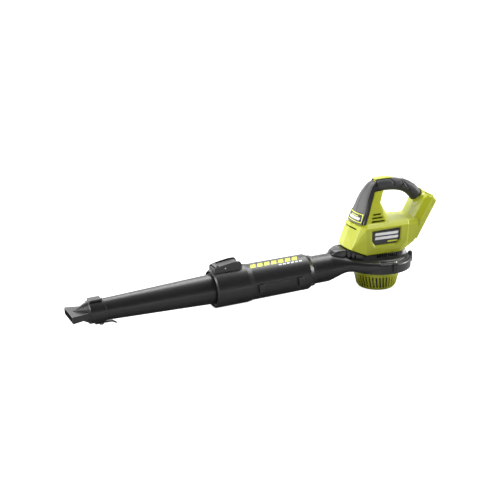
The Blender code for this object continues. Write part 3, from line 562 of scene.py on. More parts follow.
def grille():
    """The basket over the fan's inlet, a bowl with leaning slots, and a slotted guard ring inside it."""
    r, top = GRILLE_RADIUS, SCROLL_BOTTOM - 0.3
    outer = rounded([
        (0, 0, 0), (r - 11, 0, 6), (r - 6.2, 7.5, 12), (r - 1.2, 28, 18), (r, 41, 6), (r, top, 0.6),
    ], 2, 5, closed=False)
    inner = [(r - 2.4, top), (r - 2.4, 40), (r - 4.4, 28), (r - 8.8, 9.4), (r - 12, 2.4), (0, 2.4)]
    bowl = lathe("grille_basket", outer + inner, 160)
    slots = []
    for i in range(GRILLE_SLOTS):
        turn = Matrix.Rotation(math.tau * i / GRILLE_SLOTS, 4, "Z")
        outline = rounded([(-2.0, -13.2), (2.0, -13.2), (2.0, 13.4), (-2.0, 13.4)], 1.9, 3)
        sides = [[(x, y, z) for y, z in outline] for x in (-10, 9)]
        slots.append(loft("slot", sides, turn @ moved(r - 4, 0, 20.5) @ turned(SLOT_LEAN, "X")))
    cut(bowl, *slots)
    finish(bowl, "casing", "lime_plastic", "intake_grille")
    guard_top = SCROLL_BOTTOM - 0.4
    guard = lathe("inlet_guard", [(45.2, 6), (45.2, guard_top), (43.6, guard_top), (43.6, 6)], 144)
    gaps = []
    for i in range(GUARD_SLOTS):
        turn = Matrix.Rotation(math.tau * i / GUARD_SLOTS, 4, "Z")
        gaps.append(block("gap", (41, -0.9, 9), (48, 0.9, SCROLL_BOTTOM - 4), turn))
    cut(guard, *gaps)
    finish(guard, "casing", "black_plastic")


# ---------------------------------------------------------------- body

BODY_HALF = 47.0
FOOT_CENTRE = Vector((107.3, 0, 156.9))
FOOT_PLACE = moved(*FOOT_CENTRE) @ turned(29.45, "Y")  # the battery foot leans back
GRIP_HALF_WIDTH = 17.0
GRIP_HALF_HEIGHT = 15.5
GRIP_PATH = [(-12, 242), (17, 243.5), (45, 240.5), (66, 234), (84, 223), (97.5, 208.5)]
CORE_PATH = [*GRIP_PATH, (106, 197)]
BADGE = [(-38, 146), (35.5, 148.5), (35.5, 121.5), (25.5, 112), (-30.5, 112), (-38, 122)]
RECESS = [(-42.8, 149), (38.5, 151.8), (39, 119), (27, 107), (-33.5, 107.5), (-42.8, 123.5)]
RECESS_DEPTH = 4.0
BADGE_MIDDLE = 129.2
LOUVRES = 3
BOSSES = [  # x, z, and the half-width of the body there
    (-56, 108, 44), (46, 112, 44), (56, 146, 42), (-46, 147, 44.5), (-17, 199, 25.5),
]
SCREW_SINK = 6
LONGEST_SCREW = 30
BODY = [
    (-85.3, 32, 103.8), (-90, 0, 104.5), (-77.5, 0, 142), (-70, 0, 158), (-63.2, 35.5, 156),
    (-54.5, BODY_HALF, 153), (-54, BODY_HALF, 134), (-34, BODY_HALF, 105.5), (36, BODY_HALF, 99),
    (53, BODY_HALF, 115), (55, BODY_HALF, 153.5), (-50, 43.8, 89.8), (38, 43.5, 89.8), (56, 40, 96.5),
    (-46, 38, 161), (58, 38, 162), (-40, 0, 161.5), (58, 0, 164.5),
]
REAR = [
    (50, 43.2, 150.5), (50, 43, 102), (84, 42.0, 151), (80, 41.8, 118), (76, 38, 108), (58, 38, 97),
    (87, 36, 161), (50, 36.5, 161.5), (88, 0, 163), (50, 0, 164),
]


def swept_bar(name, path, half_width, half_height, count):
    """A bar of oval section along a smooth path in the plane y = 0."""
    section = oval(half_width, half_height, 1.0, 48)
    return loft(name, [
        [(x - tangent.y * up, y, z + tangent.x * up) for y, up in section]
        for x, z, tangent in along(spline(path, count))
    ])


def foot_solids():
    """The battery foot: a rim, a narrower front whose sides slope in, and a collar round the grip's end."""
    rim = hull("foot_rim", [
        (-0.2, 40.5, -49), (-0.2, 40.5, 49), (-2.5, 42, -50), (-2.5, 42, 50), (-12.5, 42, -47),
        (-12.5, 42, 51), (-15.5, 36, 58), (-6, 36, 54), (-12, 30, -53.5),
    ], FOOT_PLACE)
    front = hull("foot_front", [
        (-12, 38.5, -44), (-12, 38.5, 51), (-15.5, 38.5, -43), (-15.5, 38.5, 50), (-27, 30, 40),
        (-27, 29, -38), (-22, 31, 52),
    ], FOOT_PLACE)
    end = swept_bar("grip_collar", CORE_PATH[-3:], GRIP_HALF_WIDTH + 3.6, GRIP_HALF_HEIGHT + 3.6, 12)
    room = hull("collar_room", [
        (-60, 45, -45), (-60, 45, 62), (-22.5, 45, -45), (-31.5, 45, 62),
    ], FOOT_PLACE)
    cut(end, room)
    return [rim, front, end]


def side_loft(name, side, rings):
    """A loft on the body's flat side. Each ring is an outline in X and Z, and its depth below the side."""
    return loft(name, [[(x, side * (BODY_HALF - depth), z) for x, z in ring] for ring, depth in rings])


def body_shell():
    """The two lime halves: body, front leg, the core under the grip, and the battery foot."""
    blank = hull("body_blank", BODY)
    rear = hull("body_rear", REAR)
    leg_low = hull("leg_low", [
        (-51, 36.8, 156), (-32.3, 27, 205), (-8.7, 26.5, 206), (5.2, 24.5, 184), (-3.5, 31.6, 184),
        (11.5, 27.5, 163), (2, 36.8, 162), (11.5, 27, 156), (-13.5, 27.2, 205), (-7.5, 21, 206),
    ])
    leg_high = hull("leg_high", [
        (-33, 27, 203.5), (-8.7, 26.0, 206), (-12, 26.7, 206), (-21, 19.5, 231), (2.5, 18.4, 232),
        (-1.5, 19.2, 232),
    ])
    core = swept_bar("core", CORE_PATH, GRIP_HALF_WIDTH - 3, GRIP_HALF_HEIGHT - 3, 24)
    join(blank, rear, leg_low, leg_high, core, *foot_solids())
    moulded(blank, 4)
    frame_seat = slab("frame_seat", [
        (-56, 140), (-51.4, 156), (-32.7, 205), (-21.3, 231.2), (-20, 260), (-100, 260),
    ], 90)
    chin_guard = hull("chin_guard", BODY)
    cut(frame_seat, chin_guard)
    cut(blank, frame_seat)
    cavities = [
        hull("body_room", [(x * 0.94, y * 0.885, 126 + (z - 126) * 0.9) for x, y, z in BODY]),
        hull("leg_room", [(-47, 34, 150), (-30, 25, 203), (-11.5, 24, 203), (2, 29, 180), (5, 32, 150)]),
        hull("leg_top_room", [(-30, 24.5, 201), (-11.5, 24, 202), (-21, 17, 229), (-1, 16.5, 229)]),
        swept_bar("core_room", GRIP_PATH, GRIP_HALF_WIDTH - 5.5, GRIP_HALF_HEIGHT - 5.5, 24),
    ]
    cut(blank, *cavities)
    openings = [
        block("battery_mouth", (-13, -28, -60), (2, 28, 40), FOOT_PLACE, bevel=1.0, segments=2),
        block("battery_rails", (-10, -33, -61), (-4, 33, 40), FOOT_PLACE, bevel=0.6, segments=2),
        rod("floor_hole", 37, 86, 96, steps=64),
        block("trigger_slot", (-12, -7, 205), (30, 7, 227), bevel=0.8, segments=2),
    ]
    for side in (-1, 1):
        rim, floor = rounded(RECESS, 2.0, 3), rounded(BADGE, 1.2, 3)
        rings = [(floor, RECESS_DEPTH), (floor, RECESS_DEPTH - 0.6), (rim, -0.6)]
        openings.append(side_loft("badge_recess", side, rings))
        for i in range(LOUVRES):
            low, high, z = -36.5 + 2.3 * i, -1.0 - 3.6 * i, 165.6 + 7.9 * i
            outline = rounded([
                (low, z - 2.4), (high, z - 1.8), (high - 3.8, z + 2.3), (low + 1.8, z + 2.0),
            ], 0.8, 2)
            openings.append(slab("louvre", outline, 12, moved(y=side * (36 - 2.2 * i))))
    chin = moved(-73.5, 0, 151) @ turned(24, "Y")
    openings.append(block("chin_slot", (-8, -25, -1.6), (9, 25, 1.6), chin, bevel=1.2))
    for x, z, half in BOSSES:
        place = moved(x, 0, z) @ turned(-90, "X")
        openings.append(rod("boss_bore", 3.4, half - SCREW_SINK, half + 12, place))
    cut(blank, *openings)
    right = copy(blank, "shell_right")
    keep(right, block("right_side", (-130, 0.2, 80), (180, 70, 275)))
    blank.name = "shell_left"
    keep(blank, block("left_side", (-130, -70, 80), (180, -0.2, 275)))
    finish(blank, "casing", "lime_plastic", "housing_left")
    finish(right, "casing", "lime_plastic", "housing_right")


def body_screws():
    for i, (x, z, half) in enumerate(BOSSES):
        place = moved(x, half - SCREW_SINK, z) @ turned(-90, "X")
        made = screw(f"body_fastener_{i + 1}", 2.9, min(2 * half - 16, LONGEST_SCREW), place)
        finish(made, "casing", "steel", f"housing_screw_{i + 1}")


BARS = [  # low and high x, middle z, height, ink, name
    (-31, 29, 137.6, 6.4, WHITE_INK, "white"), (-31, 29, 128.0, 6.4, WHITE_INK, "white_low"),
    (2, 28, 118.6, 3.2, LIME_INK, "lime"),
]


def badge_outline(along_x, up):
    """The badge's outline, made smaller about its middle."""
    return rounded([(x * along_x - 0.03, BADGE_MIDDLE + (z - BADGE_MIDDLE) * up) for x, z in BADGE], 1.4, 4)


def badges():
    """Black plates in the body's side recesses, with plain bars in place of any mark."""
    # The border is a black flange, wider than the plate, on the recess floor. It is partly the plate and
    # partly painted shade: its black fills the gap round the plate where the recess lies in shadow.
    plate, flange_and_shade = badge_outline(0.935, 0.86), badge_outline(0.985, 0.965)
    for side, hand in ((-1, "left"), (1, "right")):
        name = f"badge_plate_{hand}"
        made = side_loft(name, side, [(flange_and_shade, 3.9), (flange_and_shade, 3.5), (plate, 2.8), (plate, 2.6)])
        finish(made, "casing", "black_plastic", f"badge_{hand}")
        for low, high, z, tall, ink, word in BARS:
            bottom, top = z - tall / 2, z + tall / 2
            shape = rounded([(low, bottom), (high, bottom), (high + 1.2, top), (low + 1.2, top)], 0.6, 3)
            bar = slab(f"{name}_bar_{word}", shape, 0.3, moved(y=side * (BODY_HALF - 2.5)))
            finish(bar, "casing", "black_plastic", look=ink)


# ---------------------------------------------------------------- leg front, grip and trigger

FRONT_LINE = [  # x and z of the panel's centre, half-width, depth to the back of its frame, crown
    (-16.5, 252, 12.5, 13.0, 2.0), (-29, 243.5, 16.5, 23.0, 4.5), (-45.3, 220, 23.5, 23.0, 7.0),
    (-57.5, 187.5, 30.5, 21.0, 7.0), (-66.5, 161, 35.3, 18.5, 5.5),
]


def front_section(station, reach, depth_from, depth_to, count=17):
    """A level slice of the crowned front panel, or of the frame behind it."""
    x, z, half, _, crown = station
    front, back = [], []
    for i in range(count):
        share = 2 * i / (count - 1) - 1
        y = reach * share
        edge = 1.6 * max(0.0, (abs(share) - 0.86) / 0.14) ** 2
        bow = crown * (y / half) ** 2
        front.append((x + bow + depth_from + edge, y, z))
        back.append((x + (bow if depth_to < 4 else 0) + depth_to, y, z))
    return front + back[::-1]


def handle_room(name):
    """The space that the grip's front end needs."""
    return swept_bar(
        name, [(-12.5, 242), *GRIP_PATH[1:3]], GRIP_HALF_WIDTH + 0.3, GRIP_HALF_HEIGHT + 0.3, 24,
    )


def front_trim():
    """The grained panel, with a black strip laid in its seam groove as painted shade, and the black frame
    behind it.
    """
    stations = spline(FRONT_LINE, 20)
    panel = loft("panel_shell", [front_section(at, at[2] - 1.7, 0, 2.0) for at in stations])
    black = loft("panel_frame", [front_section(at, at[2] - 0.2, 2.8, at[3]) for at in stations])
    leg = hull("leg_space", [
        (-53.9, 45, 150), (-32.9, 45, 205), (-21.5, 45, 231.4), (60, 45, 231.4), (60, 45, 150),
        (-20.9, 45, 233),
    ])
    cut(black, leg, handle_room("grip_space"))
    seam = block("panel_seam", (-100, -1.0, 100), (30, 1.0, 262))
    cut(seam, loft("seam_floor", [front_section(at, at[2] + 3, 1.1, 12) for at in stations]))
    top_space = handle_room("panel_top_space")
    # A thin black strip at the floor of the seam's groove: painted shade that stands in for the groove's own
    # shadow.
    seam_shade = loft("panel_seam_shade", [front_section(at, at[2] - 1.7, 0.5, 1.0) for at in stations])
    keep(seam_shade, block("seam_shade_width", (-100, -0.9, 100), (30, 0.9, 262)))
    cut(seam_shade, copy(top_space, "seam_shade_top_space"))
    cut(panel, seam, top_space)
    finish(panel, "casing", "grey_plastic", "front_panel")
    finish(seam_shade, "casing", "black_plastic")
    finish(black, "casing", "black_plastic", "front_frame")


def on_front(s, y, lift):
    """A point on the front panel: s runs from its top, 0, to its bottom, 1."""
    stations = spline(FRONT_LINE, 61)
    x, z, half, _, crown = stations[round(s * 60)]
    return (x + crown * (y / half) ** 2 - lift, y, z)


def front_label():
    """A thin black label low on the panel with a lime outline and plain bars."""
    def patch(name, top, bottom, half_top, half_bottom, low, high):
        rows = 9
        sections = []
        for i in range(rows):
            s = mix(top, bottom, i / (rows - 1))
            half = mix(half_top, half_bottom, i / (rows - 1))
            ys = [mix(-half, half, k / 12) for k in range(13)]
            sections.append([on_front(s, y, high) for y in ys] + [on_front(s, y, low) for y in reversed(ys)])
        return loft(name, sections)

    base = patch("label_plate", 0.775, 0.985, 31.0, 33.4, -0.3, 0.25)
    finish(base, "casing", "black_plastic")
    outline = patch("label_outline", 0.79, 0.965, 28.6, 31.4, 0.1, 0.42)
    cut(outline, patch("label_inside", 0.808, 0.948, 26.8, 29.6, -1, 2))
    finish(outline, "casing", "black_plastic", look=LIME_INK)
    for colour, top, bottom, half, ink in (
        ("lime", 0.826, 0.852, 15, LIME_INK), ("white", 0.87, 0.92, 22, WHITE_INK),
    ):
        bar = patch(f"label_bar_{colour}", top, bottom, half, half, 0.1, 0.4)
        finish(bar, "casing", "black_plastic", look=ink)


def groove(x, z, line, width, depth):
    """How deep a point lies in a groove that follows a line in the plane of X and Z."""
    best = 1e9
    here = Vector((x, z))
    for a, b in zip(line, line[1:]):
        a, b = Vector(a), Vector(b)
        t = max(0.0, min(1.0, (here - a).dot(b - a) / (b - a).length_squared))
        best = min(best, (here - a - (b - a) * t).length)
    return depth * max(0.0, 1 - (best / width) ** 2)


CREASES = [
    [(24, 255), (31, 246), (29, 240)], [(52, 250), (55, 243), (40, 229)],
    [(58, 246), (70, 232), (76, 222)],
]
CREASE_WIDTH = 1.5
CREASE_DEPTH = 1.5


def grip():
    """The rubber sleeve round the handle, with creases pressed into its sides."""
    count, sides = 180, 72
    sections = []
    for i, (x, z, tangent) in enumerate(along(spline(GRIP_PATH, count))):
        share = i / (count - 1)
        tall = GRIP_HALF_HEIGHT - 0.9 * smooth((share - 0.1) / 0.5)
        wide = GRIP_HALF_WIDTH - 1.0 * smooth((share - 0.15) / 0.5)
        section = []
        for k, (y, up) in enumerate(oval(wide, tall, 0.88, sides)):
            px, pz = x - tangent.y * up, z + tangent.x * up
            deepest = max(groove(px, pz, crease, CREASE_WIDTH, CREASE_DEPTH) for crease in CREASES)
            sink = deepest * smooth(abs(math.cos(math.tau * k / sides)) * 3)
            section.append((px, y - math.copysign(sink, y), pz))
        sections.append(section)
    outer = loft("grip_sleeve", sections)
    path = [(-30, 241), *CORE_PATH[1:]]
    bore = swept_bar("grip_bore", path, GRIP_HALF_WIDTH - 2.6, GRIP_HALF_HEIGHT - 2.6, 40)
    leg_room = hull("grip_leg_room", [
        (-40, 25, 190), (-22.5, 25, 231.3), (3.2, 25, 232.4), (-4.6, 25, 190),
    ])
    patch_room = hull("patch_room", [(x, y + 0.2, z + up) for x, y, z in TOP_PATCH for up in (-0.3, 10)])
    insert_room = hull("insert_room", [(x, y + 0.25, z + up) for x, y, z in INSERT for up in (-0.3, 10)])
    foot_room = hull("grip_foot_room", [
        (-26.6, 45, -38), (-26.6, 45, 41), (-22, 45, 53), (5, 45, 53), (5, 45, -38),
    ], FOOT_PLACE)
    cut(outer, bore, leg_room, patch_room, insert_room, foot_room)
    finish(outer, "casing", "soft_grip", "grip", angle=50)


# half-outlines of the plates on the handle's top: x, half-width, height
TOP_PATCH = [(-15, 8.5, 256.7), (4, 10, 257.9), (18, 10, 257.9), (30, 9.5, 257.2)]
INSERT = [(31, 9.6, 256.4), (42, 9.2, 254.6), (54, 8.6, 251.2), (61, 6.0, 248.6)]


def crowned(name, outline, lift, thickness, crown):
    """A thin plate on top of the handle, crowned across and following the handle's fall along X."""
    rows, columns = 20, 13
    low_x, high_x = min(p[0] for p in outline), max(p[0] for p in outline)
    sections = []
    for i in range(rows):
        x = mix(low_x, high_x, i / (rows - 1))
        for a, b in zip(outline, outline[1:]):
            if a[0] <= x <= b[0]:
                t = (x - a[0]) / (b[0] - a[0])
                half, z = mix(a[1], b[1], t), mix(a[2], b[2], t)
        corner = min(1.0, (x - low_x) / 2.5, (high_x - x) / 2.5)
        half *= 0.86 + 0.14 * math.sqrt(max(0.0, corner))
        ys = [mix(-half, half, k / (columns - 1)) for k in range(columns)]
        drop = 0.5 * (1 - smooth(corner))
        top = [(x, y, z + lift + thickness - crown * (y / half) ** 2 - drop) for y in ys]
        sections.append(top + [(x, y, z + lift) for y in reversed(ys)])
    return loft(name, sections)


def handle_top():
    finish(crowned("top_plate", TOP_PATCH, 0.2, 2.1, 0.9), "casing", "lime_plastic", "top_patch")
    finish(crowned("grip_insert", INSERT, 0.2, 1.6, 1.1), "casing", "grey_plastic", look=GREY_INSERT)


TRIGGER_TRAVEL = 6.0


def trigger():
    """The trigger's blade, with a pocket for its return spring."""
    low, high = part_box("trigger")
    left, right = low.x / MM, high.x / MM
    outline = rounded([
        (left, 206.5), (left, 225.5), (right - 0.6, 225.5, 1.2), (right, 221, 3), (right - 2.3, 214, 10),
        (right - 4.3, 209, 3), (right - 6.8, 206.5, 1.2),
    ], 0.8, 5)
    blade = round_edges(slab("trigger_blade", outline, 12.6), 1.2, 4)
    cut(blade, rod("spring_pocket", 4.4, left - 2, left + TRIGGER_TRAVEL + 1, moved(z=213) @ ALONG_X))
    finish(blade, "trigger", "black_plastic", "trigger")


# ---------------------------------------------------------------- sleeve and collar

SLEEVE_RADIUS = 41.2
SLEEVE_FRONT = -345.0
SLEEVE_REAR = -172.5
SEAM = 5.0
COLLAR_RADIUS = 43.65
COLLAR_FRONT = -416.0
COLLAR_REAR = -327.0
TUBE_RADIUS = 33.2
CLIP_STATIONS = (-312.5, -215.5)
# corners of a clip and of its pocket: half-length, distance from the line's middle plane, height
CLIP = [(6.5, 39.4, 4.2), (6.5, 46.4, 4.2), (6.2, 46.9, -7), (5.2, 43.5, -15.6), (5.6, 37.5, -15.8)]
POCKET = [(4.4, 41.6, 8), (4.4, 45.0, 8), (3.6, 41.8, -8), (3.6, 44.8, -8)]


def at_station(name, corners, station, side):
    points = [(station + way * reach, side * y, z) for reach, y, z in corners for way in (-1, 1)]
    return hull(name, points, LINE, mirrored=False)


def sleeve():
    """The silencer sleeve's two halves, with their clips."""
    r = SLEEVE_RADIUS
    outer = rounded([
        (SLEEVE_FRONT, r, 0.3), (-188, r - 0.4, 4), (-178.4, 35.9, 1.2), (SLEEVE_REAR, 35.6, 0.8),
        (SLEEVE_REAR, PIPE_RADIUS + 0.5, 0.2), (-190, PIPE_RADIUS + 0.5, 0.2),
        (-191, r - WALL - 0.6, 0.5), (SLEEVE_FRONT, r - WALL, 0.2),
    ], 1.0, 5)
    blank = line_lathe("sleeve_top", outer, 128)
    lower = copy(blank, "sleeve_bottom")
    keep(blank, block("top_half", (-400, -60, SEAM + 0.1), (-150, 60, 60), LINE))
    keep(lower, block("bottom_half", (-400, -60, -60), (-150, 60, SEAM - 0.5), LINE))
    for station in CLIP_STATIONS:
        for side in (-1, 1):
            join(lower, round_edges(at_station("clip", CLIP, station, side), 0.9, 3))
            cut(lower, at_station("pocket", POCKET, station, side))
    finish(blank, "casing", "black_plastic", "sleeve_upper")
    finish(lower, "casing", "black_plastic", "sleeve_lower")


def sleeve_stripes():
    """A plain print on the sleeve's near upper side: slanted lime bars, and a row of small white ones."""
    def strip(name, low, high, angle_low, angle_high, slant, ink):
        columns, rows = 4, 7
        sections = []
        for i in range(columns):
            station = mix(low, high, i / (columns - 1))
            ring = []
            for depth in (0.22, 0.0):
                order = range(rows) if depth else reversed(range(rows))
                for k in order:
                    share = k / (rows - 1)
                    angle = math.radians(mix(angle_low, angle_high, share))
                    radius = SLEEVE_RADIUS + depth
                    ring.append(
                        (station + slant * share, -radius * math.cos(angle), radius * math.sin(angle)),
                    )
            sections.append(ring)
        finish(loft(name, sections, LINE), "casing", "black_plastic", look=ink)

    for i in range(7):
        low = -327 + 17 * i
        strip(f"sleeve_stripe_{i + 1}", low, low + 12.5, 66, 84, 5.0, LIME_INK)
    for i in range(6):
        low = -260 + 10 * i
        strip(f"sleeve_dash_{i + 1}", low, low + 6.5, 57, 62, 1.4, WHITE_INK)


def pin_cutter(name, radius, reach, pivot):
    """A bore for a hinge pin across the tube line."""
    x, z = pivot
    return rod(name, radius, -reach, reach, LINE @ moved(x, 0, z) @ turned(90, "X"))


LATCH_PIVOT = (-386.4, 48.1)
LATCH_BORE = 1.7


def collar():
    """The lock collar, with two cheeks that hold the latch."""
    r = COLLAR_RADIUS
    profile = rounded([
        (COLLAR_FRONT, 40.8, 1.2), (COLLAR_FRONT + 3.4, r, 2.4), (-338, r, 4),
        (COLLAR_REAR, SLEEVE_RADIUS + 0.9, 0.8), (COLLAR_REAR, SLEEVE_RADIUS + 0.35, 0.1),
        (-336, SLEEVE_RADIUS + 0.35, 0.3), (-340, r - 2.1, 0.3), (COLLAR_FRONT + 9, r - 2.1, 0.3),
        (COLLAR_FRONT + 9, 36.4, 0.3), (-350, 36.4, 0.2), (-350, TUBE_RADIUS + 0.8, 0.2),
        (COLLAR_FRONT + 1.6, TUBE_RADIUS + 0.8, 0.5), (COLLAR_FRONT + 1.6, 36.0, 0.6),
        (COLLAR_FRONT + 6.5, 36.6, 0.4), (COLLAR_FRONT + 6.5, 38.6, 0.4), (COLLAR_FRONT, 39.2, 0.5),
    ], 0.5, 4)
    body = line_lathe("collar_shell", profile, 128)
    cheek = rounded([
        (-412, 39.5), (-412, 51, 2.5), (-402, 54, 6), (-386, 57, 30), (-368, 59.2, 30), (-356, 59.7, 6),
        (-350.5, 58, 4), (-347.2, 51, 3), (-347.2, 39.5),
    ], 1.0, 5)
    parts = []
    for side in (-1, 1):
        plate = slab("cheek", cheek, 3.6, LINE @ moved(y=side * 15.6))
        parts.append(round_edges(plate, 0.8, 3, 40))
    parts.append(block("cheek_front", (-412, -15, 41.4), (-408.6, 15, 50.0), LINE, bevel=0.6))
    parts.append(block("cheek_rear", (-349.4, -15, 41.4), (-347.2, 15, 50.5), LINE, bevel=0.5))
    join(body, *parts)
    slot = block("hook_slot", (-358.6, -5.8, 30), (-349.8, 5.8, 46), LINE)
    cut(body, slot, pin_cutter("pin_hole", LATCH_BORE, 25, LATCH_PIVOT))
    finish(body, "casing", "black_plastic", "lock_collar")


def latch():
    """The latch lever between the collar's cheeks, ribbed on top for the thumb."""
    outline = rounded([
        (-407.5, 47.2, 1), (-407.5, 52.5, 2), (-405, 55.6, 2), (-401.5, 56, 2), (-398, 53.2, 4),
        (-386, 54.6, 20), (-368, 56.6, 20), (-356, 57, 2), (-351.6, 54, 3), (-351.6, 46.8, 1),
        (-380, 45.4, 2), (-392, 45.4, 2),
    ], 1, 5)
    lever = round_edges(slab("latch_blade", outline, 26.4, LINE), 0.9, 3, 40)
    lines = []
    for i in range(7):
        low, high = -396 + 5.2 * i, -394.6 + 5.2 * i
        lines.append(block("finger_line", (low, -9.5, 53.2), (high, 9.5, 60), LINE @ lean_back(low)))
    join(lever, block("hook", (-357, -5, 31.6), (-352, 5, 50), LINE, bevel=0.6))
    cut(lever, pin_cutter("pin_bore", LATCH_BORE, 25, LATCH_PIVOT), *lines)
    finish(lever, "latch", "black_plastic", "latch_lever")


def lean_back(station):
    """Raises a cutter with the latch's rising top, so that each line is as deep as the next."""
    top = 53.4 + (station + 396) * 0.095
    return moved(z=top - 53.2)


# ---------------------------------------------------------------- tube and nozzle

TUBE_TIP = -692.0
TUBE_TIP_RADIUS = 23.6
TUBE_REAR = -351.0
CAP_RADIUS = 25.75
CAP_REAR = -663.0
CAP_FRONT = -699.0
MOUTH = -741.0
MOUTH_HALF_WIDTH = 35.0
MOUTH_HALF_HEIGHT = 8.0
RELEASE_PIVOT = (-672.0, -28.4)
RELEASE_BORE = 1.3


def blower_tube():
    """The tapered tube, with keyways for the latch's hook and the release lever's tooth."""
    wall = 2.0
    outer = [
        (TUBE_TIP, TUBE_TIP_RADIUS, 0.6), (-664, TUBE_TIP_RADIUS + 0.2, 3), (-655, 24.2, 20),
        (-430, 32.7, 60), (-421, TUBE_RADIUS, 20), (TUBE_REAR, TUBE_RADIUS, 0.5),
    ]
    inner = [(station, radius - wall) for station, radius, *_ in reversed(outer)]
    tube = line_lathe("taper_tube", rounded([*outer, *inner], 0.5, 6), 128)
    cut(tube, block("hook_keyway", (-358.4, -5.7, 25), (TUBE_REAR + 5, 5.7, 40), LINE),
        block("tooth_keyway", (TUBE_TIP - 5, -4.2, -30), (-680, 4.2, -15), LINE))
    finish(tube, "tube", "black_plastic", "blower_tube")


def cone(name, radius, front, rise, base):
    """The blend from a round base to a short upright edge at the front."""
    turns = [math.tau * i / AROUND for i in range(AROUND)]
    points = [(base, radius * math.cos(a), radius * math.sin(a)) for a in turns]
    return hull(name, points + [(front, 2, rise), (front, 2, -rise)], LINE, mirrored=False)


def nozzle():
    """The cap that fits over the tube's end, with its flat mouth and the ears of the release lever."""
    bore = TUBE_TIP_RADIUS + 0.5
    profile = rounded([
        (CAP_FRONT, CAP_RADIUS - 1.0, 0.9), (CAP_FRONT + 1.2, CAP_RADIUS, 1.0),
        (CAP_REAR - 0.2, CAP_RADIUS, 0.8), (CAP_REAR, bore, 0.3), (TUBE_TIP - 0.3, bore, 0.2),
        (TUBE_TIP - 0.3, CAP_RADIUS - 3, 0.2), (CAP_FRONT, CAP_RADIUS - 3, 0.2),
    ], 0.5, 5)
    cap = line_lathe("nozzle_duct", profile, 128)
    half, tall = MOUTH_HALF_WIDTH, MOUTH_HALF_HEIGHT
    fishtail = hull("fishtail", [
        (MOUTH, half, tall), (MOUTH, half, -tall), (CAP_FRONT + 4, 23.0, tall - 1),
        (CAP_FRONT + 4, 23.0, 1 - tall),
    ], LINE)
    round_edges(fishtail, 1.4, 4, 20)
    inner = hull("fishtail_room", [
        (MOUTH - 2, half - 1.9, tall - 1.8), (MOUTH - 2, half - 1.9, 1.8 - tall),
        (CAP_FRONT + 2, 21, tall - 2.6), (CAP_FRONT + 2, 21, 2.6 - tall),
    ], LINE)
    join(cap, fishtail, cone("cone_outside", CAP_RADIUS - 1.4, MOUTH + 8.5, tall - 0.7, CAP_FRONT + 2))
    throat = rod("throat", CAP_RADIUS - 4, CAP_FRONT + 1, CAP_FRONT + 9, LINE @ ALONG_X, steps=96)
    hollow = cone("cone_inside", CAP_RADIUS - 3, MOUTH + 16, tall - 3, CAP_FRONT + 2.5)
    cut(cap, round_edges(inner, 0.8, 2, 20), hollow, throat)
    pad = hull("pad", [
        (-696, 12, bore + 0.6), (-668, 12, bore + 0.6), (-696, 12, CAP_RADIUS + 1.6),
        (-694.5, 10.5, CAP_RADIUS + 3.1), (-669, 10.5, CAP_RADIUS + 3.1), (-668, 12, CAP_RADIUS + 1.6),
    ], LINE)
    x, z = RELEASE_PIVOT
    outline = rounded([
        (x - 5, -24.4), (x - 5, z - 1, 2), (x - 2.5, z - 3, 2), (x + 2.5, z - 3, 2), (x + 5, z - 1, 2),
        (x + 5, -24.4),
    ], 0.5, 4)
    ears = []
    for side in (-1, 1):
        ears.append(round_edges(slab("ear", outline, 2.1, LINE @ moved(y=side * 6.35)), 0.4, 2, 40))
    join(cap, round_edges(pad, 0.8, 3), *ears)
    hole = block("tooth_hole", (-687, -4.0, -30), (-680.6, 4.0, -20), LINE)
    cut(cap, hole, pin_cutter("release_pin_hole", RELEASE_BORE, 12, RELEASE_PIVOT))
    finish(cap, "nozzle", "black_plastic", "nozzle")


def nozzle_release():
    """The lever under the nozzle, with a tooth in front and a thumb tab behind."""
    outline = rounded([
        (-686, -28.6), (-686, -22.6, 0.6), (-682, -22.6, 0.6), (-681.4, -26.9, 0.5), (-660, -26.9, 6),
        (-645.5, -27.8, 8), (-636.6, -34.2, 0.7), (-637.8, -35.7, 0.7), (-648, -30.6, 8),
        (-662, -30.2, 4), (-684, -30.2, 1.5),
    ], 0.6, 5)
    lever = round_edges(slab("release_blade", outline, 6.6, LINE), 0.5, 3, 40)
    cut(lever, pin_cutter("release_bore", RELEASE_BORE, 12, RELEASE_PIVOT))
    finish(lever, "release", "black_plastic", "nozzle_release")


# ---------------------------------------------------------------- stage, light and camera

STUDIO_CENTRE = Vector((-0.3, 0, 0.1))
CAMERA_AT = (-1.3279, -2.3353, 0.9316)
CAMERA_BACK = (-0.37703, -0.87546, 0.30237)  # from the object to the camera


def card(name, direction, distance, size, radiance):
    """A soft light panel that faces the object."""
    light = bpy.data.lights.new(name, "AREA")
    light.shape = "RECTANGLE"
    light.size, light.size_y = size
    light.energy = radiance * math.pi * size[0] * size[1]
    obj = bpy.data.objects.new(name, light)
    towards = Vector(direction).normalized()
    obj.location = STUDIO_CENTRE + towards * distance
    obj.rotation_euler = towards.to_track_quat("Z", "Y").to_euler()
    bpy.context.scene.collection.objects.link(obj)
    return obj


def paper():
    """White paper that fills the view evenly, and throws back less light on the object than it shows."""
    made = bpy.data.materials.new("white_paper")
    made.use_nodes = True
    tree = made.node_tree
    tree.nodes.clear()
    path = tree.nodes.new("ShaderNodeLightPath")
    bounce = tree.nodes.new("ShaderNodeBsdfDiffuse")
    bounce.inputs["Color"].default_value = (0.36, 0.36, 0.36, 1)
    glow = tree.nodes.new("ShaderNodeEmission")
    glow.inputs["Strength"].default_value = 1.0
    lit = tree.nodes.new("ShaderNodeAddShader")
    choice = tree.nodes.new("ShaderNodeMixShader")
    output = tree.nodes.new("ShaderNodeOutputMaterial")
    tree.links.new(glow.outputs["Emission"], lit.inputs[0])
    tree.links.new(bounce.outputs["BSDF"], lit.inputs[1])
    tree.links.new(path.outputs["Is Camera Ray"], choice.inputs["Fac"])
    tree.links.new(bounce.outputs["BSDF"], choice.inputs[1])
    tree.links.new(lit.outputs["Shader"], choice.inputs[2])
    tree.links.new(choice.outputs["Shader"], output.inputs["Surface"])
    return made


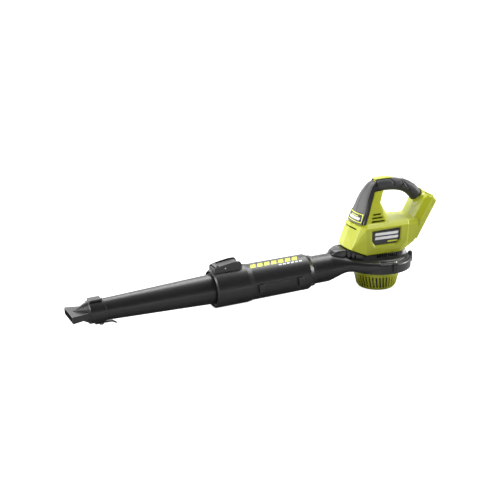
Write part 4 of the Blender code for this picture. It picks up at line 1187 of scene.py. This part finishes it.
def stage():
    bm = bmesh.new()
    bmesh.ops.create_grid(bm, x_segments=1, y_segments=1, size=18000)
    floor = piece_from("floor", bm, moved(z=-0.5))
    floor.data.materials.append(paper())
    world = bpy.data.worlds.new("studio")
    world.use_nodes = True
    world.node_tree.nodes["Background"].inputs["Color"].default_value = (1, 1, 1, 1)
    world.node_tree.nodes["Background"].inputs["Strength"].default_value = 0.09
    bpy.context.scene.world = world
    card("overhead", (0.38, 0.36, 0.85), 2.1, (2.8, 1.0), 9.0)
    card("back", (0.3, 0.9, 0.3), 2.6, (2.4, 0.8), 2.4)
    card("back_left", (-0.46, 0.87, 0.16), 2.4, (1.6, 1.0), 5.0)
    card("left", (-0.94, 0.06, 0.36), 2.4, (1.2, 1.2), 18.0)
    card("right", (0.97, -0.14, 0.25), 2.4, (1.0, 1.0), 18.0)
    card("front", (0.37, -0.91, 0.15), 3.2, (3.6, 1.0), 0.15)
    glow = card("front_floor", (0.38, -0.92, -0.1), 1.06, (2.8, 0.8), 2.5)
    glow.location.z = 0.004
    glow.rotation_euler = (math.pi, 0, math.radians(-20))
    glow.visible_camera = False


def camera():
    data = bpy.data.cameras.new("camera")
    data.sensor_width = 36
    data.lens = 86.4
    data.clip_end = 50
    obj = bpy.data.objects.new("camera", data)
    back = Vector(CAMERA_BACK).normalized()
    right = Vector((-back.y, back.x, 0)).normalized()
    up = back.cross(right)
    turn = Matrix((right, up, back)).transposed()
    obj.matrix_world = moved(*CAMERA_AT) @ turn.to_4x4()
    bpy.context.scene.collection.objects.link(obj)
    bpy.context.scene.camera = obj
    bpy.context.scene.view_settings.view_transform = "Standard"


for slot_use in frame["record"]["subparts"]:
    node = frame["nodes"][slot_use["node"]]
    node.data.materials.clear()
    node.data.materials.append(LOOKS[slot_use["material_slot"]])
    node.data.shade_smooth()
    node.data.set_sharp_from_angle(angle=math.radians(SHARP_DEG))

camera()
stage()
scroll()
scroll_screws()
grille()
body_shell()
body_screws()
badges()
front_trim()
front_label()
grip()
handle_top()
trigger()
sleeve()
sleeve_stripes()
collar()
latch()
blower_tube()
nozzle()
nozzle_release()
